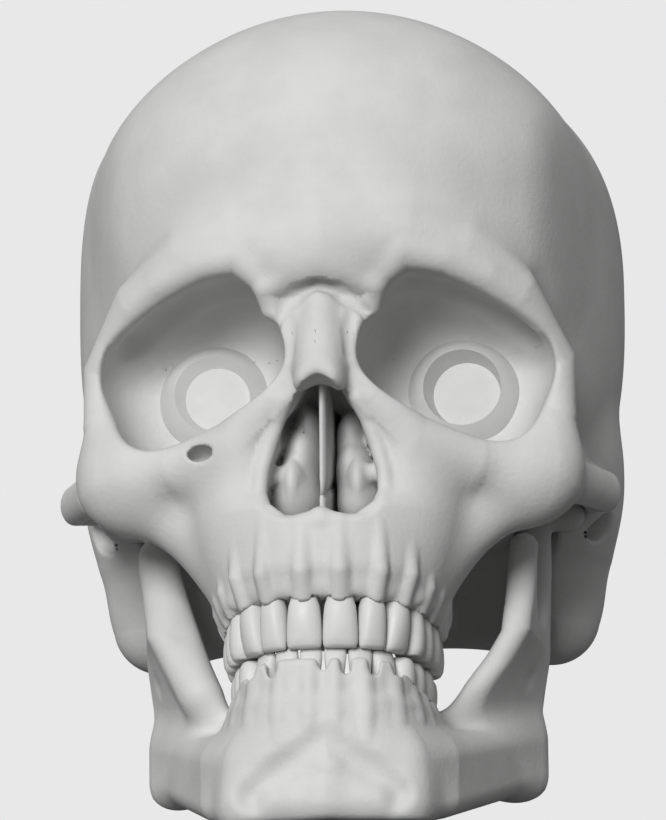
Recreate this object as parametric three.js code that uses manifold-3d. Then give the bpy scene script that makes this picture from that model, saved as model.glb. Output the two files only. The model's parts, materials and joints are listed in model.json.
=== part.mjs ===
// A classroom skull at life size, built bone by bone and tooth by tooth, with a hinged lower jaw.
// Lengths are in millimetres. x runs to the right of the picture, y runs back from the tip of the
// nasal bones and z runs up from the underside of the chin. Breadths are half breadths.

import * as THREE from 'three';
import { mergeVertices } from 'three/addons/utils/BufferGeometryUtils.js';
import Module from 'manifold-3d';

// Fit and surface
const seamGap = 0.3;
const socketGap = 0.3;
const latticeStep = 2;
const latticeMargin = 6;
const facetTolerance = 0.33;
const seamTolerance = 0.11;
const softBlend = 3;
const crispBlend = 1.2;
const cutOverrun = 60;

// Braincase
const braincaseBreadth = 71;
const braincaseFront = 92;
const braincaseBack = 69;
const braincaseRise = 58.5;
const braincaseDrop = 79;
const braincaseDepth = 110;
const braincaseHeight = 155;
const braincaseSquareness = 2.65;
const braincaseLengthwiseSquareness = 2.15;
const foreheadBreadth = 61.5;
const foreheadLength = 53.5;
const foreheadRise = 54.4;
const foreheadDepth = 62.5;
const foreheadHeight = 161.5;
const foreheadShift = 1.5;
const occiputBreadth = 50;
const occiputLength = 42;
const occiputRise = 42;
const occiputBehind = 26;
const occiputDepth = braincaseDepth + occiputBehind;
const occiputHeight = 110;
const vaultBlend = 8;
const vaultWall = 6;
const templeFrontBreadth = 57;
const templeFrontDepth = 45;
const templeBackBreadth = 69;
const templeBackDepth = 90;
const templeEdge = 4;
const frontFossaFloor = 141;
const middleFossaFloor = 104;
const saddleFloor = 113;
const saddleBreadth = 11;
const rearFossaFloor = 82;
const lesserWingAhead = 52;
const lesserWingDepth = braincaseDepth - lesserWingAhead;
const petrousRidgeAhead = 13;
const petrousRidgeDepth = braincaseDepth - petrousRidgeAhead;
const fossaStep = 12;
const fossaBlend = 10;

// Brow and outer rim of the orbit
const glabellaDepth = 10.5;
const glabellaHeight = 141;
const glabellaRadius = 7.5;
const browInnerBreadth = 20;
const browInnerDepth = 14.5;
const browInnerHeight = 142.5;
const browInnerRadius = 6;
const browMiddleBreadth = 33;
const browMiddleDepth = 18.5;
const browMiddleHeight = 139.5;
const browMiddleRadius = 5.5;
const browOuterBreadth = 46;
const browOuterDepth = 26;
const browOuterHeight = 131.5;
const browOuterRadius = 5.5;
const outerRimBreadth = 55.5;
const outerRimDepth = 35.5;
const outerRimHeight = 117;
const outerRimRadius = 5;
const outerRimFootHeight = 104;
const faceBlend = 7;
const browBlend = 14;

// Cheek bone and its arch
const cheekBreadth = 49;
const cheekDepth = 36;
const cheekHeight = 90;
const cheekHalfBreadth = 11.5;
const cheekHalfDepth = 9;
const cheekRise = 10.5;
const archFrontBreadth = 60;
const archFrontDepth = 47;
const archFrontHeight = 89.5;
const archFrontRise = 5.5;
const archSideBreadth = 66.7;
const archSideDepth = 66;
const archSideHeight = 91.5;
const archRootBreadth = 62;
const archRootDepth = 93;
const archRootHeight = 98;
const archRise = 5;
const archFlatShare = 0.7;

// Lower rim of the orbit and side of the nose
const lowerRimBreadth = 36;
const lowerRimDepth = 26;
const lowerRimHeight = 90;
const lowerRimRadius = 7;
const innerRimBreadth = 22;
const innerRimDepth = 20;
const innerRimHeight = 94;
const innerRimRadius = 6;
const frontalProcessFootBreadth = 12;
const frontalProcessFootDepth = 16;
const frontalProcessFootHeight = 104;
const frontalProcessFootRadius = 5;
const frontalProcessBreadth = 8.2;
const frontalProcessDepth = 14.5;
const frontalProcessHeight = 122;
const frontalProcessRadius = 4;

// Nasal bones
const nasalRootDepth = 17;
const nasalRootHeight = 127;
const nasalRootRadius = 5.2;
const nasalTipDepth = 6.2;
const nasalTipHeight = 106;
const nasalTipRadius = 6.2;

// Upper jaw
const maxillaBreadth = 19;
const maxillaDepth = 37;
const maxillaHeight = 80;
const maxillaHalfBreadth = 16;
const maxillaHalfDepth = 23;
const maxillaRise = 24;
const crestFootBreadth = 24;
const crestFootDepth = 36;
const crestFootHeight = 66;
const crestRadius = 5;
const alveolarFrontDepth = 11.2;
const alveolarEdge = 3;
const alveolarBreadth = 22.4;
const alveolarLength = 44;
const alveolarSquareness = 3;
const alveolarWall = 5.2;
const alveolarFrontLower = 53.5;
const alveolarBackLower = 50.5;
const alveolarUpper = 78;
const palateHeight = 69;
const palateWall = 5;
const spineDepth = 9;
const spineHeight = 73.5;
const spineRadius = 2.6;

// Orbit
const orbitBreadth = 32.6;
const orbitDepth = 18;
const orbitHeight = 114.8;
const orbitHalfWidth = 23.5;
const orbitHalfHeight = 17.1;
const orbitReach = 30;
const orbitSlope = -23.5;
const orbitInwardTurn = 4;
const orbitSquareness = 3.3;
const orbitWall = 3.5;
const orbitShellDepth = 26;
const orbitShellSlopeShare = 0.5;
const pitBreadth = 29.5;
const pitDepth = 19;
const pitHeight = 91.5;
const pitHalfBreadth = 3.4;
const pitHalfDepth = 5.5;
const pitHalfHeight = 2;

// Nose
const noseBreadth = 14.2;
const noseHeight = 80;
const noseRise = 26.5;
const noseDrop = 8;
const noseUpperSquareness = 1.6;
const noseLowerSquareness = 3.4;
const noseBack = 52;
const choanaBreadth = 12.5;
const choanaRise = 10;
const choanaHeight = 83.5;
const choanaBack = 80;

// Temple, ear and mastoid
const mastoidBaseBreadth = 52.5;
const mastoidBaseBehind = 4;
const mastoidBaseDepth = braincaseDepth + mastoidBaseBehind;
const mastoidBaseHeight = 86;
const mastoidBaseRadius = 12.5;
const mastoidTipBreadth = 51.5;
const mastoidTipBehind = 5;
const mastoidTipDepth = braincaseDepth + mastoidTipBehind;
const mastoidTipHeight = 69.5;
const mastoidTipRadius = 9;
const squamaBulgeBreadth = 55;
const squamaBulgeDepth = braincaseDepth;
const squamaBulgeHeight = 104;
const squamaBulgeHalfBreadth = 13.5;
const squamaBulgeHalfDepth = 20;
const squamaBulgeRise = 17;
const templeBlend = 12;
const condyleBreadth = 48;
const condyleDepth = 91;
const condyleHeight = 92;
const earBreadth = 48;
const earBehind = 10;
const earDepth = condyleDepth + earBehind;
const earBelow = 1;
const earHeight = condyleHeight - earBelow;
const earRadius = 3.4;
const eminenceInnerBreadth = 40;
const eminenceOuterBreadth = 60;
const eminenceAhead = 11;
const eminenceDepth = condyleDepth - eminenceAhead;
const eminenceAbove = 5.5;
const eminenceHeight = condyleHeight + eminenceAbove;
const eminenceRadius = 5;

// Base of the skull
const pharynxBreadth = 20;
const pharynxLength = 20;
const pharynxRise = 17;
const pharynxDepth = 72;
const pharynxHeight = 76;
const pterygoidBreadth = 16;
const pterygoidDepth = 63;
const pterygoidHeight = 76;
const pterygoidThickness = 3.6;
const pterygoidLength = 6;
const pterygoidRise = 15;
const neckCondyleBreadth = 15;
const neckCondyleAhead = 2;
const neckCondyleDepth = braincaseDepth - neckCondyleAhead;
const neckCondyleHeight = 71;
const neckCondyleRadius = 6;
const neckCondyleLength = 12;
const baseInnerBreadth = 20;
const baseInnerBehind = 8;
const baseInnerDepth = braincaseDepth + baseInnerBehind;
const baseInnerHeight = 77;
const baseOuterBreadth = 48;
const baseOuterBehind = 8;
const baseOuterDepth = braincaseDepth + baseOuterBehind;
const baseOuterHeight = 75;
const baseRadius = 12;
const foramenBreadth = 15;
const foramenLength = 17.5;
const foramenBehind = 12;
const foramenDepth = braincaseDepth + foramenBehind;
const foramenRise = 40;

// Lower jaw
const chinDepth = 17.5;
const chinRadius = 8;
const chinHeight = 8;
const chinRidgeDepth = 17;
const chinRidgeHeight = 25;
const chinRidgeRadius = 4.5;
const bodyLength = 70;
const chinCornerBreadth = 19;
const chinCornerDepth = 18.5;
const bodyTurnBreadth = 26;
const bodyTurnDepth = 31;
const bodyBackBreadth = 43.5;
const bodyWall = 5.4;
const bodyFrontLower = -0.6;
const bodyFrontUpper = 20;
const bodyBackLower = 20;
const bodyBackUpper = 38;
const tubercleBreadth = 17;
const tubercleDepth = 18;
const tubercleHeight = 6;
const tubercleRadius = 6;
const lowerArchFrontDepth = 13.2;
const lowerArchBreadth = 20.6;
const lowerArchLength = 43;
const lowerArchWall = 5.4;
const lowerArchBase = 14;
const lowerArchFrontUpper = 31;
const lowerArchBackUpper = 33;
const gonionBreadth = 45;
const gonionDepth = 82;
const gonionHeight = 31;
const gonionRadius = 10.5;
const ramusHeight = 55;
const ramusBackBreadth = 47.2;
const ramusBackDepth = 86.5;
const ramusBackRadius = 6.5;
const ramusFrontBreadth = 44.5;
const ramusFrontDepth = 64;
const ramusFrontRadius = 6.5;
const ramusFootBreadth = 37.5;
const ramusFootDepth = 62;
const ramusFootHeight = 40;
const ramusFootRadius = 8;
const ramusHalfThickness = 3.3;
const ramusSlopeShare = 0.92;
const condyleHalfBreadth = 8;
const condyleRadius = 4.2;
const condyleNeckRadius = 4.6;
const condyleSideCount = 16;
const condyleInset = 0.6;
const condyleGap = 0.45;
const jawOpening = 20;
const swingGap = 1.5;
const coronoidBreadth = 46;
const coronoidDepth = 62.5;
const coronoidHeight = 77.5;
const coronoidRadius = 3.6;
const innerRidgeTopBreadth = 44;
const innerRidgeTopHeight = 74;
const innerRidgeBreadth = 37;
const innerRidgeDepth = 60;
const innerRidgeHeight = 55;
const innerRidgeFootBreadth = 33.5;
const innerRidgeFootDepth = 54;
const innerRidgeFootHeight = 40;
const innerRidgeTopRadius = 2.2;
const innerRidgeRadius = 2.8;
const innerRidgeFootRadius = 4;
const slimCoronoidRadius = 2.3;
const coronoidKnobRadius = 3;
const jawBlend = 8;

// Nasal septum and shell bones
const septumHalfThickness = 0.9;
const septumFrontDepth = 12;
const septumBackDepth = 60;
const septumSeat = 1.4;
const septumSeamFrontHeight = 79;
const septumSeamBackHeight = 96;
const septumTopHeight = 117;
const septumTopBackDepth = 48;
const conchaBreadth = 8;
const conchaDepth = 34;
const conchaHeight = 85;
const conchaHalfBreadth = 4.2;
const conchaHalfDepth = 15;
const conchaRise = 9.5;
const conchaRootBreadth = 15;
const conchaRootHeight = 87;
const conchaRootRadius = 2.2;
const conchaSeamBreadth = 11.4;

// Round boss with a recess at the back of each orbit
const bossBreadth = 32.4;
const rightBossBreadth = 29;
const bossDepth = 51;
const bossHeight = 112.5;
const bossRadius = 14.5;
const bossRecessRadius = 9.6;
const bossRecessFloorRadius = 7.8;
const bossRecessFloorDepth = 43;
const bossSideCount = 24;

// Teeth and bite
const toothWidth = 8.2;
const toothDepth = 9;
const toothRoot = 12;
const toothSideCount = 8;
const biteHeight = 41.5;
const biteGap = 0.4;
const toothGap = 0.35;
const archSampleCount = 240;

// Seams between the bones
const serrationHeight = 1.5;
const serrationStartShare = 0.03;
const pterionTurnShare = 0.5;
const coronalSerrationCount = 9;
const sagittalFromShare = -0.24;
const sagittalToShare = 0.36;
const sagittalSerrationCount = 12;
const lambdoidSerrationCount = 5;
const fanStepCount = 96;
const fanReach = 160;
const fanHeight = 135;
const bregmaAhead = 30;
const bregmaDepth = braincaseDepth - bregmaAhead;
const pterionAhead = 49;
const pterionDepth = braincaseDepth - pterionAhead;
const coneHeight = 125;
const coneTilt = 38;
const coneReach = 400;
const lambdaBehind = 58;
const lambdaDepth = braincaseDepth + lambdaBehind;
const lambdaHeight = 178;
const lambdoidBreadth = 34;
const lambdoidBehind = 50;
const lambdoidDepth = braincaseDepth + lambdoidBehind;
const lambdoidHeight = 148;
const asterionBreadth = 56;
const asterionBehind = 28;
const asterionDepth = braincaseDepth + asterionBehind;
const asterionHeight = 108;
const jugularBreadth = 26;
const jugularAhead = 2;
const jugularDepth = braincaseDepth - jugularAhead;
const jugularHeight = 72;
const clivusBreadth = 11;
const clivusAhead = 20;
const clivusDepth = braincaseDepth - clivusAhead;
const clivusHeight = 78;
const nasofrontalHeight = 128.5;
const nasalTaper = 5;
const nasomaxillaryBreadth = 6.4;
const lacrimalDepth = 19;
const lacrimalLength = 9;
const lacrimalLower = 103;
const lacrimalUpper = 119;
const lacrimalInnerBreadth = 7.4;
const lacrimalBreadth = 18;
const ethmoidBreadth = 10;
const ethmoidBack = 56;
const orbitFloorHeight = 99;
const orbitFloorRise = 10;
const zygomaticInnerBreadth = 30;
const zygomaticTopBreadth = 33;
const zygomaticFootBreadth = 43;
const zygomaticFootHeight = 77;
const tuberosityDepth = 58;
const frontomaxillaryHeight = 126.5;
const sphenozygomaticDepth = 46;
const frontozygomaticHeight = 121.5;
const archInnerBreadth = 55;
const archSeamDepth = 70;
const archSeamSlant = 6;
const palatineBreadth = 13;
const palatineDepth = 47;
const squamaStepCount = 10;
const squamaFrontTurn = 15;
const squamaBackTurn = 165;
const squamaAhead = 11;
const squamaDepth = braincaseDepth - squamaAhead;
const squamaHeight = 103;
const squamaRadius = 41;
const infratemporalDepth = 66;
const petrousTipBreadth = 12;
const parietalLowerHeight = 100;
const skullReach = 90;

// Field of a shape: a function of place that is negative inside and about a distance outside.
const blendTwo = (a, b, radius) => {
  const share = Math.max(radius - Math.abs(a - b), 0) / radius;
  return Math.min(a, b) - (share * share * radius) / 4;
};

const join = (radius, ...shapes) => (x, y, z) => {
  let value = shapes[0](x, y, z);
  for (let i = 1; i < shapes.length; i++) value = blendTwo(value, shapes[i](x, y, z), radius);
  return value;
};

const carve = (radius, body, ...tools) => (x, y, z) => {
  let value = body(x, y, z);
  for (const tool of tools) value = -blendTwo(-value, tool(x, y, z), radius);
  return value;
};

const common = (radius, a, b) => (x, y, z) => -blendTwo(-a(x, y, z), -b(x, y, z), radius);

const paired = (shape) => (x, y, z) => shape(Math.abs(x), y, z);

const ellipsoid = ([cx, cy, cz], [rx, ry, rz]) => (x, y, z) => {
  const u = (x - cx) / rx;
  const v = (y - cy) / ry;
  const w = (z - cz) / rz;
  const size = Math.hypot(u, v, w);
  const slope = Math.hypot(u / rx, v / ry, w / rz);
  return slope === 0 ? -Math.min(rx, ry, rz) : (size * (size - 1)) / slope;
};

const rod = ([ax, ay, az], [bx, by, bz], startRadius, endRadius) => {
  const dx = bx - ax;
  const dy = by - ay;
  const dz = bz - az;
  const square = dx * dx + dy * dy + dz * dz;
  return (x, y, z) => {
    const along = ((x - ax) * dx + (y - ay) * dy + (z - az) * dz) / square;
    const t = Math.min(Math.max(along, 0), 1);
    const away = Math.hypot(x - ax - t * dx, y - ay - t * dy, z - az - t * dz);
    return away - startRadius - t * (endRadius - startRadius);
  };
};

const chain = (stations) => {
  const links = [];
  for (let i = 1; i < stations.length; i++) {
    const [a, b] = [stations[i - 1], stations[i]];
    links.push(rod(a.slice(0, 3), b.slice(0, 3), a[3], b[3]));
  }
  return (x, y, z) => {
    let value = Infinity;
    for (const link of links) value = Math.min(value, link(x, y, z));
    return value;
  };
};

// A chain that is thinner across than it is high
const flatChain = (share, stations) => {
  const round = chain(stations.map(([x, y, z, radius]) => [x / share, y, z, radius]));
  return (x, y, z) => round(x / share, y, z) * share;
};

// A rod along the breadth, drawn out in depth into a shelf
const flatRod = (from, to, halfDepth, radius) => (x, y, z) => {
  const along = Math.min(Math.max(x, from[0]), to[0]);
  const depth = Math.max(Math.abs(y - from[1]) - halfDepth, 0);
  return Math.hypot(x - along, depth, z - from[2]) - radius;
};

const smoothStep = (from, to, value) => {
  const t = Math.min(Math.max((value - from) / (to - from), 0), 1);
  return t * t * (3 - 2 * t);
};

const mix = (a, b, t) => a + (b - a) * t;

// Arch seen from above: half of a rounded oval, open to the back
const archDistance = (x, y, front, breadth, length, power) => {
  const u = Math.abs(x) / breadth;
  const v = Math.max(front + length - y, 0) / length;
  const size = (u ** power + v ** power) ** (1 / power);
  if (size === 0) return -breadth;
  const slope = Math.hypot((u / size) ** (power - 1) / breadth, (v / size) ** (power - 1) / length);
  return (size - 1) / slope;
};

const archPlace = (turn, front, breadth, length, power) => [
  breadth * Math.sin(turn) ** (2 / power),
  front + length - length * Math.cos(turn) ** (2 / power),
];

const degrees = Math.PI / 180;

// Braincase
const braincase = (x, y, z) => {
  const u = Math.abs(x) / braincaseBreadth;
  const v = Math.abs(y - braincaseDepth) / (y < braincaseDepth ? braincaseFront : braincaseBack);
  const w = Math.abs(z - braincaseHeight) / (z > braincaseHeight ? braincaseRise : braincaseDrop);
  const section = (u ** braincaseSquareness + w ** braincaseSquareness) ** (1 / braincaseSquareness);
  const power = braincaseLengthwiseSquareness;
  return ((section ** power + v ** power) ** (1 / power) - 1) * braincaseRise;
};

// Beyond the flat side of the head, which runs straight through two places of the temple
const templeTurn = Math.atan2(templeBackBreadth - templeFrontBreadth, templeBackDepth - templeFrontDepth);
const temple = (x, y) => {
  const out = templeFrontBreadth - x;
  const back = y - templeFrontDepth;
  return out * Math.cos(templeTurn) + back * Math.sin(templeTurn);
};

const vault = carve(templeEdge, join(
  vaultBlend,
  braincase,
  ellipsoid([foreheadShift, foreheadDepth, foreheadHeight], [foreheadBreadth, foreheadLength, foreheadRise]),
  ellipsoid([0, occiputDepth, occiputHeight], [occiputBreadth, occiputLength, occiputRise]),
), paired(temple));

const fossaFloor = (x, y, z) => {
  const aside = smoothStep(saddleBreadth, saddleBreadth * 2, Math.abs(x));
  const behindWing = smoothStep(lesserWingDepth - fossaStep, lesserWingDepth + fossaStep, y);
  const behindRidge = smoothStep(petrousRidgeDepth - fossaStep, petrousRidgeDepth + fossaStep, y);
  const middle = mix(saddleFloor, middleFossaFloor, aside);
  const floor = mix(mix(frontFossaFloor, middle, behindWing), rearFossaFloor, behindRidge);
  return (floor - z) / 2;
};

const cavity = common(fossaBlend, (x, y, z) => vault(x, y, z) + vaultWall, fossaFloor);

const brow = chain([
  [0, glabellaDepth, glabellaHeight, glabellaRadius],
  [browInnerBreadth, browInnerDepth, browInnerHeight, browInnerRadius],
  [browMiddleBreadth, browMiddleDepth, browMiddleHeight, browMiddleRadius],
  [browOuterBreadth, browOuterDepth, browOuterHeight, browOuterRadius],
  [outerRimBreadth, outerRimDepth, outerRimHeight, outerRimRadius],
  [outerRimBreadth, outerRimDepth, outerRimFootHeight, outerRimRadius],
  [cheekBreadth, cheekDepth, cheekHeight, cheekRise],
]);

const lowerRim = chain([
  [cheekBreadth, cheekDepth, cheekHeight, cheekRise],
  [lowerRimBreadth, lowerRimDepth, lowerRimHeight, lowerRimRadius],
  [innerRimBreadth, innerRimDepth, innerRimHeight, innerRimRadius],
  [frontalProcessFootBreadth, frontalProcessFootDepth, frontalProcessFootHeight, frontalProcessFootRadius],
  [frontalProcessBreadth, frontalProcessDepth, frontalProcessHeight, frontalProcessRadius],
]);

const cheek = ellipsoid([cheekBreadth, cheekDepth, cheekHeight], [cheekHalfBreadth, cheekHalfDepth, cheekRise]);

const cheekArch = flatChain(archFlatShare, [
  [cheekBreadth, cheekDepth, cheekHeight, cheekRise],
  [archFrontBreadth, archFrontDepth, archFrontHeight, archFrontRise],
  [archSideBreadth, archSideDepth, archSideHeight, archRise],
  [archRootBreadth, archRootDepth, archRootHeight, archRise],
]);

const nasalBridge = rod(
  [0, nasalRootDepth, nasalRootHeight],
  [0, nasalTipDepth, nasalTipHeight],
  nasalRootRadius,
  nasalTipRadius,
);

const maxillaBlock = ellipsoid(
  [maxillaBreadth, maxillaDepth, maxillaHeight],
  [maxillaHalfBreadth, maxillaHalfDepth, maxillaRise],
);

const cheekCrest = rod(
  [crestFootBreadth, crestFootDepth, crestFootHeight],
  [cheekBreadth - crestRadius, cheekDepth, cheekHeight - crestRadius],
  crestRadius,
  crestRadius + alveolarEdge,
);

// Upright wall along a line in plan, with its lower and upper edge each rising or falling to the back
const wallAlong = (line, front, length, wall, edge, lower, upper) => (x, y, z) => {
  const t = Math.min(Math.max((y - front) / length, 0), 1);
  const bottom = mix(lower[0], lower[1], t);
  const top = mix(upper[0], upper[1], t);
  const side = Math.abs(line(x, y, 0)) - wall;
  const level = Math.abs(z - (bottom + top) / 2) - (top - bottom) / 2;
  const back = y - front - length;
  return Math.hypot(Math.max(side + edge, 0), Math.max(level + edge, 0), Math.max(back + edge, 0)) - edge;
};

const upperLine = (x, y) => (
  archDistance(x, y, alveolarFrontDepth, alveolarBreadth, alveolarLength, alveolarSquareness)
);
const lowerLine = (x, y) => (
  archDistance(x, y, lowerArchFrontDepth, lowerArchBreadth, lowerArchLength, alveolarSquareness)
);

const alveolarArch = wallAlong(
  upperLine,
  alveolarFrontDepth,
  alveolarLength,
  alveolarWall,
  alveolarEdge,
  [alveolarFrontLower, alveolarBackLower],
  [alveolarUpper, alveolarUpper],
);

const palate = (x, y, z) => {
  const side = upperLine(x, y);
  const level = Math.abs(z - palateHeight) - palateWall;
  const back = y - alveolarFrontDepth - alveolarLength;
  return Math.max(side, level, back);
};

const face = join(faceBlend, lowerRim, cheek, maxillaBlock, alveolarArch, palate, cheekCrest);

const mastoid = rod(
  [mastoidBaseBreadth, mastoidBaseDepth, mastoidBaseHeight],
  [mastoidTipBreadth, mastoidTipDepth, mastoidTipHeight],
  mastoidBaseRadius,
  mastoidTipRadius,
);

const squamaBulge = ellipsoid(
  [squamaBulgeBreadth, squamaBulgeDepth, squamaBulgeHeight],
  [squamaBulgeHalfBreadth, squamaBulgeHalfDepth, squamaBulgeRise],
);

const baseSide = rod(
  [baseInnerBreadth, baseInnerDepth, baseInnerHeight],
  [baseOuterBreadth, baseOuterDepth, baseOuterHeight],
  baseRadius,
  baseRadius,
);

const eminence = rod(
  [eminenceInnerBreadth, eminenceDepth, eminenceHeight],
  [eminenceOuterBreadth, eminenceDepth, eminenceHeight],
  eminenceRadius,
  eminenceRadius,
);

const pterygoid = ellipsoid(
  [pterygoidBreadth, pterygoidDepth, pterygoidHeight],
  [pterygoidThickness, pterygoidLength, pterygoidRise],
);

const neckCondyle = rod(
  [neckCondyleBreadth, neckCondyleDepth, neckCondyleHeight],
  [neckCondyleBreadth - neckCondyleRadius / 2, neckCondyleDepth - neckCondyleLength, neckCondyleHeight],
  neckCondyleRadius,
  neckCondyleRadius,
);

// Orbit: a rounded box of superellipse section that narrows to the back
const orbitTurn = new THREE.Matrix4()
  .makeRotationZ(orbitInwardTurn * degrees)
  .multiply(new THREE.Matrix4().makeRotationY(-orbitSlope * degrees));
const orbitInverse = orbitTurn.clone().invert().elements;

const orbit = (x, y, z) => {
  const dx = x - orbitBreadth;
  const dy = y - orbitDepth;
  const dz = z - orbitHeight;
  const e = orbitInverse;
  const u = Math.abs(e[0] * dx + e[4] * dy + e[8] * dz) / orbitHalfWidth;
  const v = Math.max(e[1] * dx + e[5] * dy + e[9] * dz, 0) / orbitReach;
  const w = Math.abs(e[2] * dx + e[6] * dy + e[10] * dz) / orbitHalfHeight;
  const size = (u ** orbitSquareness + v ** orbitSquareness + w ** orbitSquareness) ** (1 / orbitSquareness);
  return (size - 1) * orbitHalfHeight;
};

// Thin bony wall behind the rim of the orbit
const orbitShell = (x, y, z) => {
  const front = orbitShellDepth + (x - orbitBreadth) * orbitShellSlopeShare - y;
  return Math.max(orbit(x, y, z) - orbitWall, front);
};

const noseSection = (x, z) => {
  const rising = z > noseHeight;
  const power = rising ? noseUpperSquareness : noseLowerSquareness;
  const u = Math.abs(x) / noseBreadth;
  const w = Math.abs(z - noseHeight) / (rising ? noseRise : noseDrop);
  return ((u ** power + w ** power) ** (1 / power) - 1) * noseDrop;
};

const nose = (x, y, z) => {
  const front = Math.max(noseSection(x, z), y - noseBack);
  const back = (Math.hypot(x / choanaBreadth, (z - choanaHeight) / choanaRise) - 1) * choanaRise;
  return Math.min(front, Math.max(back, y - choanaBack));
};

// Opening of the canal below the right orbit
const pit = ellipsoid([-pitBreadth, pitDepth, pitHeight], [pitHalfBreadth, pitHalfDepth, pitHalfHeight]);

const pharynx = ellipsoid([0, pharynxDepth, pharynxHeight], [pharynxBreadth, pharynxLength, pharynxRise]);

const foramen = (x, y, z) => {
  const side = (Math.hypot(x / foramenBreadth, (y - foramenDepth) / foramenLength) - 1) * foramenBreadth;
  return Math.max(side, z - rearFossaFloor - foramenRise);
};

const earCanal = rod(
  [earBreadth, earDepth, earHeight],
  [earBreadth + cutOverrun, earDepth, earHeight],
  earRadius,
  earRadius,
);

const shellBone = join(
  crispBlend,
  ellipsoid([conchaBreadth, conchaDepth, conchaHeight], [conchaHalfBreadth, conchaHalfDepth, conchaRise]),
  flatRod(
    [conchaBreadth, conchaDepth, conchaRootHeight],
    [conchaRootBreadth, conchaDepth, conchaRootHeight],
    conchaHalfDepth - conchaHalfBreadth,
    conchaRootRadius,
  ),
);

const bossPlaces = [bossBreadth, -rightBossBreadth].map((x) => [x, bossDepth, bossHeight]);
const bosses = bossPlaces.map((place) => ellipsoid(place, [bossRadius, bossRadius, bossRadius]));

const shell = join(
  templeBlend,
  join(browBlend, vault, paired(brow)),
  paired(mastoid),
  paired(squamaBulge),
  paired(baseSide),
);

const bonySkull = join(
  faceBlend,
  join(softBlend, shell, paired(orbitShell), nasalBridge),
  paired(face),
  paired(join(faceBlend, eminence, neckCondyle)),
);

const withArch = join(softBlend, bonySkull, paired(cheekArch));

const withPlates = join(softBlend, carve(softBlend, withArch, pharynx), paired(pterygoid));

const hollowSkull = carve(
  crispBlend,
  withPlates,
  cavity,
  paired(orbit),
  nose,
  pit,
  foramen,
  paired(earCanal),
);

const nasalSpine = rod(
  [0, spineDepth, spineHeight],
  [0, spineDepth + spineRadius, spineHeight],
  spineRadius,
  spineRadius,
);

// Lower jaw
const bodyLine = chain([
  [0, chinDepth, 0, 0],
  [chinCornerBreadth, chinCornerDepth, 0, 0],
  [bodyTurnBreadth, bodyTurnDepth, 0, 0],
  [bodyBackBreadth, chinDepth + bodyLength, 0, 0],
]);

const jawBody = wallAlong(
  bodyLine,
  chinDepth,
  bodyLength,
  bodyWall,
  bodyWall,
  [bodyFrontLower, bodyBackLower],
  [bodyFrontUpper, bodyBackUpper],
);

const lowerArch = wallAlong(
  lowerLine,
  lowerArchFrontDepth,
  lowerArchLength,
  lowerArchWall,
  alveolarEdge,
  [lowerArchBase, lowerArchBase],
  [lowerArchFrontUpper, lowerArchBackUpper],
);

// Side outline of the ramus, as depth and height
const ramusOutline = (tipRadius) => {
  const back = chain([
    [0, gonionDepth, gonionHeight, gonionRadius],
    [0, ramusBackDepth, ramusHeight, ramusBackRadius],
    [0, condyleDepth, condyleHeight - condyleRadius, condyleNeckRadius],
  ]);
  const front = chain([
    [0, ramusFootDepth, ramusFootHeight, ramusFootRadius],
    [0, ramusFrontDepth, ramusHeight, ramusFrontRadius],
    [0, coronoidDepth, coronoidHeight, tipRadius],
  ]);
  const web = rod(
    [0, ramusFootDepth, ramusFootHeight],
    [0, gonionDepth, gonionHeight],
    ramusFootRadius,
    gonionRadius,
  );
  const plate = rod(
    [0, ramusFrontDepth, ramusHeight],
    [0, ramusBackDepth, ramusHeight],
    ramusFrontRadius,
    ramusBackRadius,
  );
  return join(jawBlend, back, front, web, plate);
};

// Plate that follows the outline and flares outward to the back and to the top
const ramusPlate = (tipRadius) => {
  const outline = ramusOutline(tipRadius);
  return (x, y, z) => {
    const low = Math.min(Math.max((z - ramusFootHeight) / (ramusHeight - ramusFootHeight), -1), 1);
    const high = Math.min(Math.max((z - ramusHeight) / (coronoidHeight - ramusHeight), 0), 1);
    const front = mix(mix(ramusFootBreadth, ramusFrontBreadth, low), coronoidBreadth, high);
    const back = mix(mix(gonionBreadth, ramusBackBreadth, Math.max(low, 0)), condyleBreadth, high);
    const t = Math.min(Math.max((y - ramusFrontDepth) / (ramusBackDepth - ramusFrontDepth), -1), 1);
    const side = Math.abs(x - mix(front, back, t)) * ramusSlopeShare - ramusHalfThickness;
    const edge = outline(0, y, z);
    const r = ramusHalfThickness * ramusSlopeShare;
    return Math.hypot(Math.max(side + r, 0), Math.max(edge + r, 0)) - r;
  };
};

const condyle = rod(
  [condyleBreadth - condyleHalfBreadth, condyleDepth, condyleHeight],
  [condyleBreadth + condyleHalfBreadth, condyleDepth, condyleHeight],
  condyleRadius - condyleInset,
  condyleRadius - condyleInset,
);

const coronoidKnob = ellipsoid(
  [coronoidBreadth, coronoidDepth, coronoidHeight],
  [coronoidKnobRadius, coronoidKnobRadius, coronoidKnobRadius],
);

const tubercle = chain([
  [0, chinRidgeDepth, chinRidgeHeight, chinRidgeRadius],
  [0, chinDepth, chinHeight, chinRadius],
  [tubercleBreadth, tubercleDepth, tubercleHeight, tubercleRadius],
]);

const innerRidge = chain([
  [innerRidgeTopBreadth, coronoidDepth, innerRidgeTopHeight, innerRidgeTopRadius],
  [innerRidgeBreadth, innerRidgeDepth, innerRidgeHeight, innerRidgeRadius],
  [innerRidgeFootBreadth, innerRidgeFootDepth, innerRidgeFootHeight, innerRidgeFootRadius],
]);

const broadRamus = join(jawBlend, ramusPlate(coronoidRadius), innerRidge);
const slimRamus = join(crispBlend, ramusPlate(slimCoronoidRadius), coronoidKnob);

const ramus = (x, y, z) => (x < 0 ? broadRamus(-x, y, z) : slimRamus(x, y, z));
const mandible = join(
  crispBlend,
  join(jawBlend, paired(jawBody), lowerArch, paired(tubercle), ramus),
  paired(condyle),
);

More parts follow.
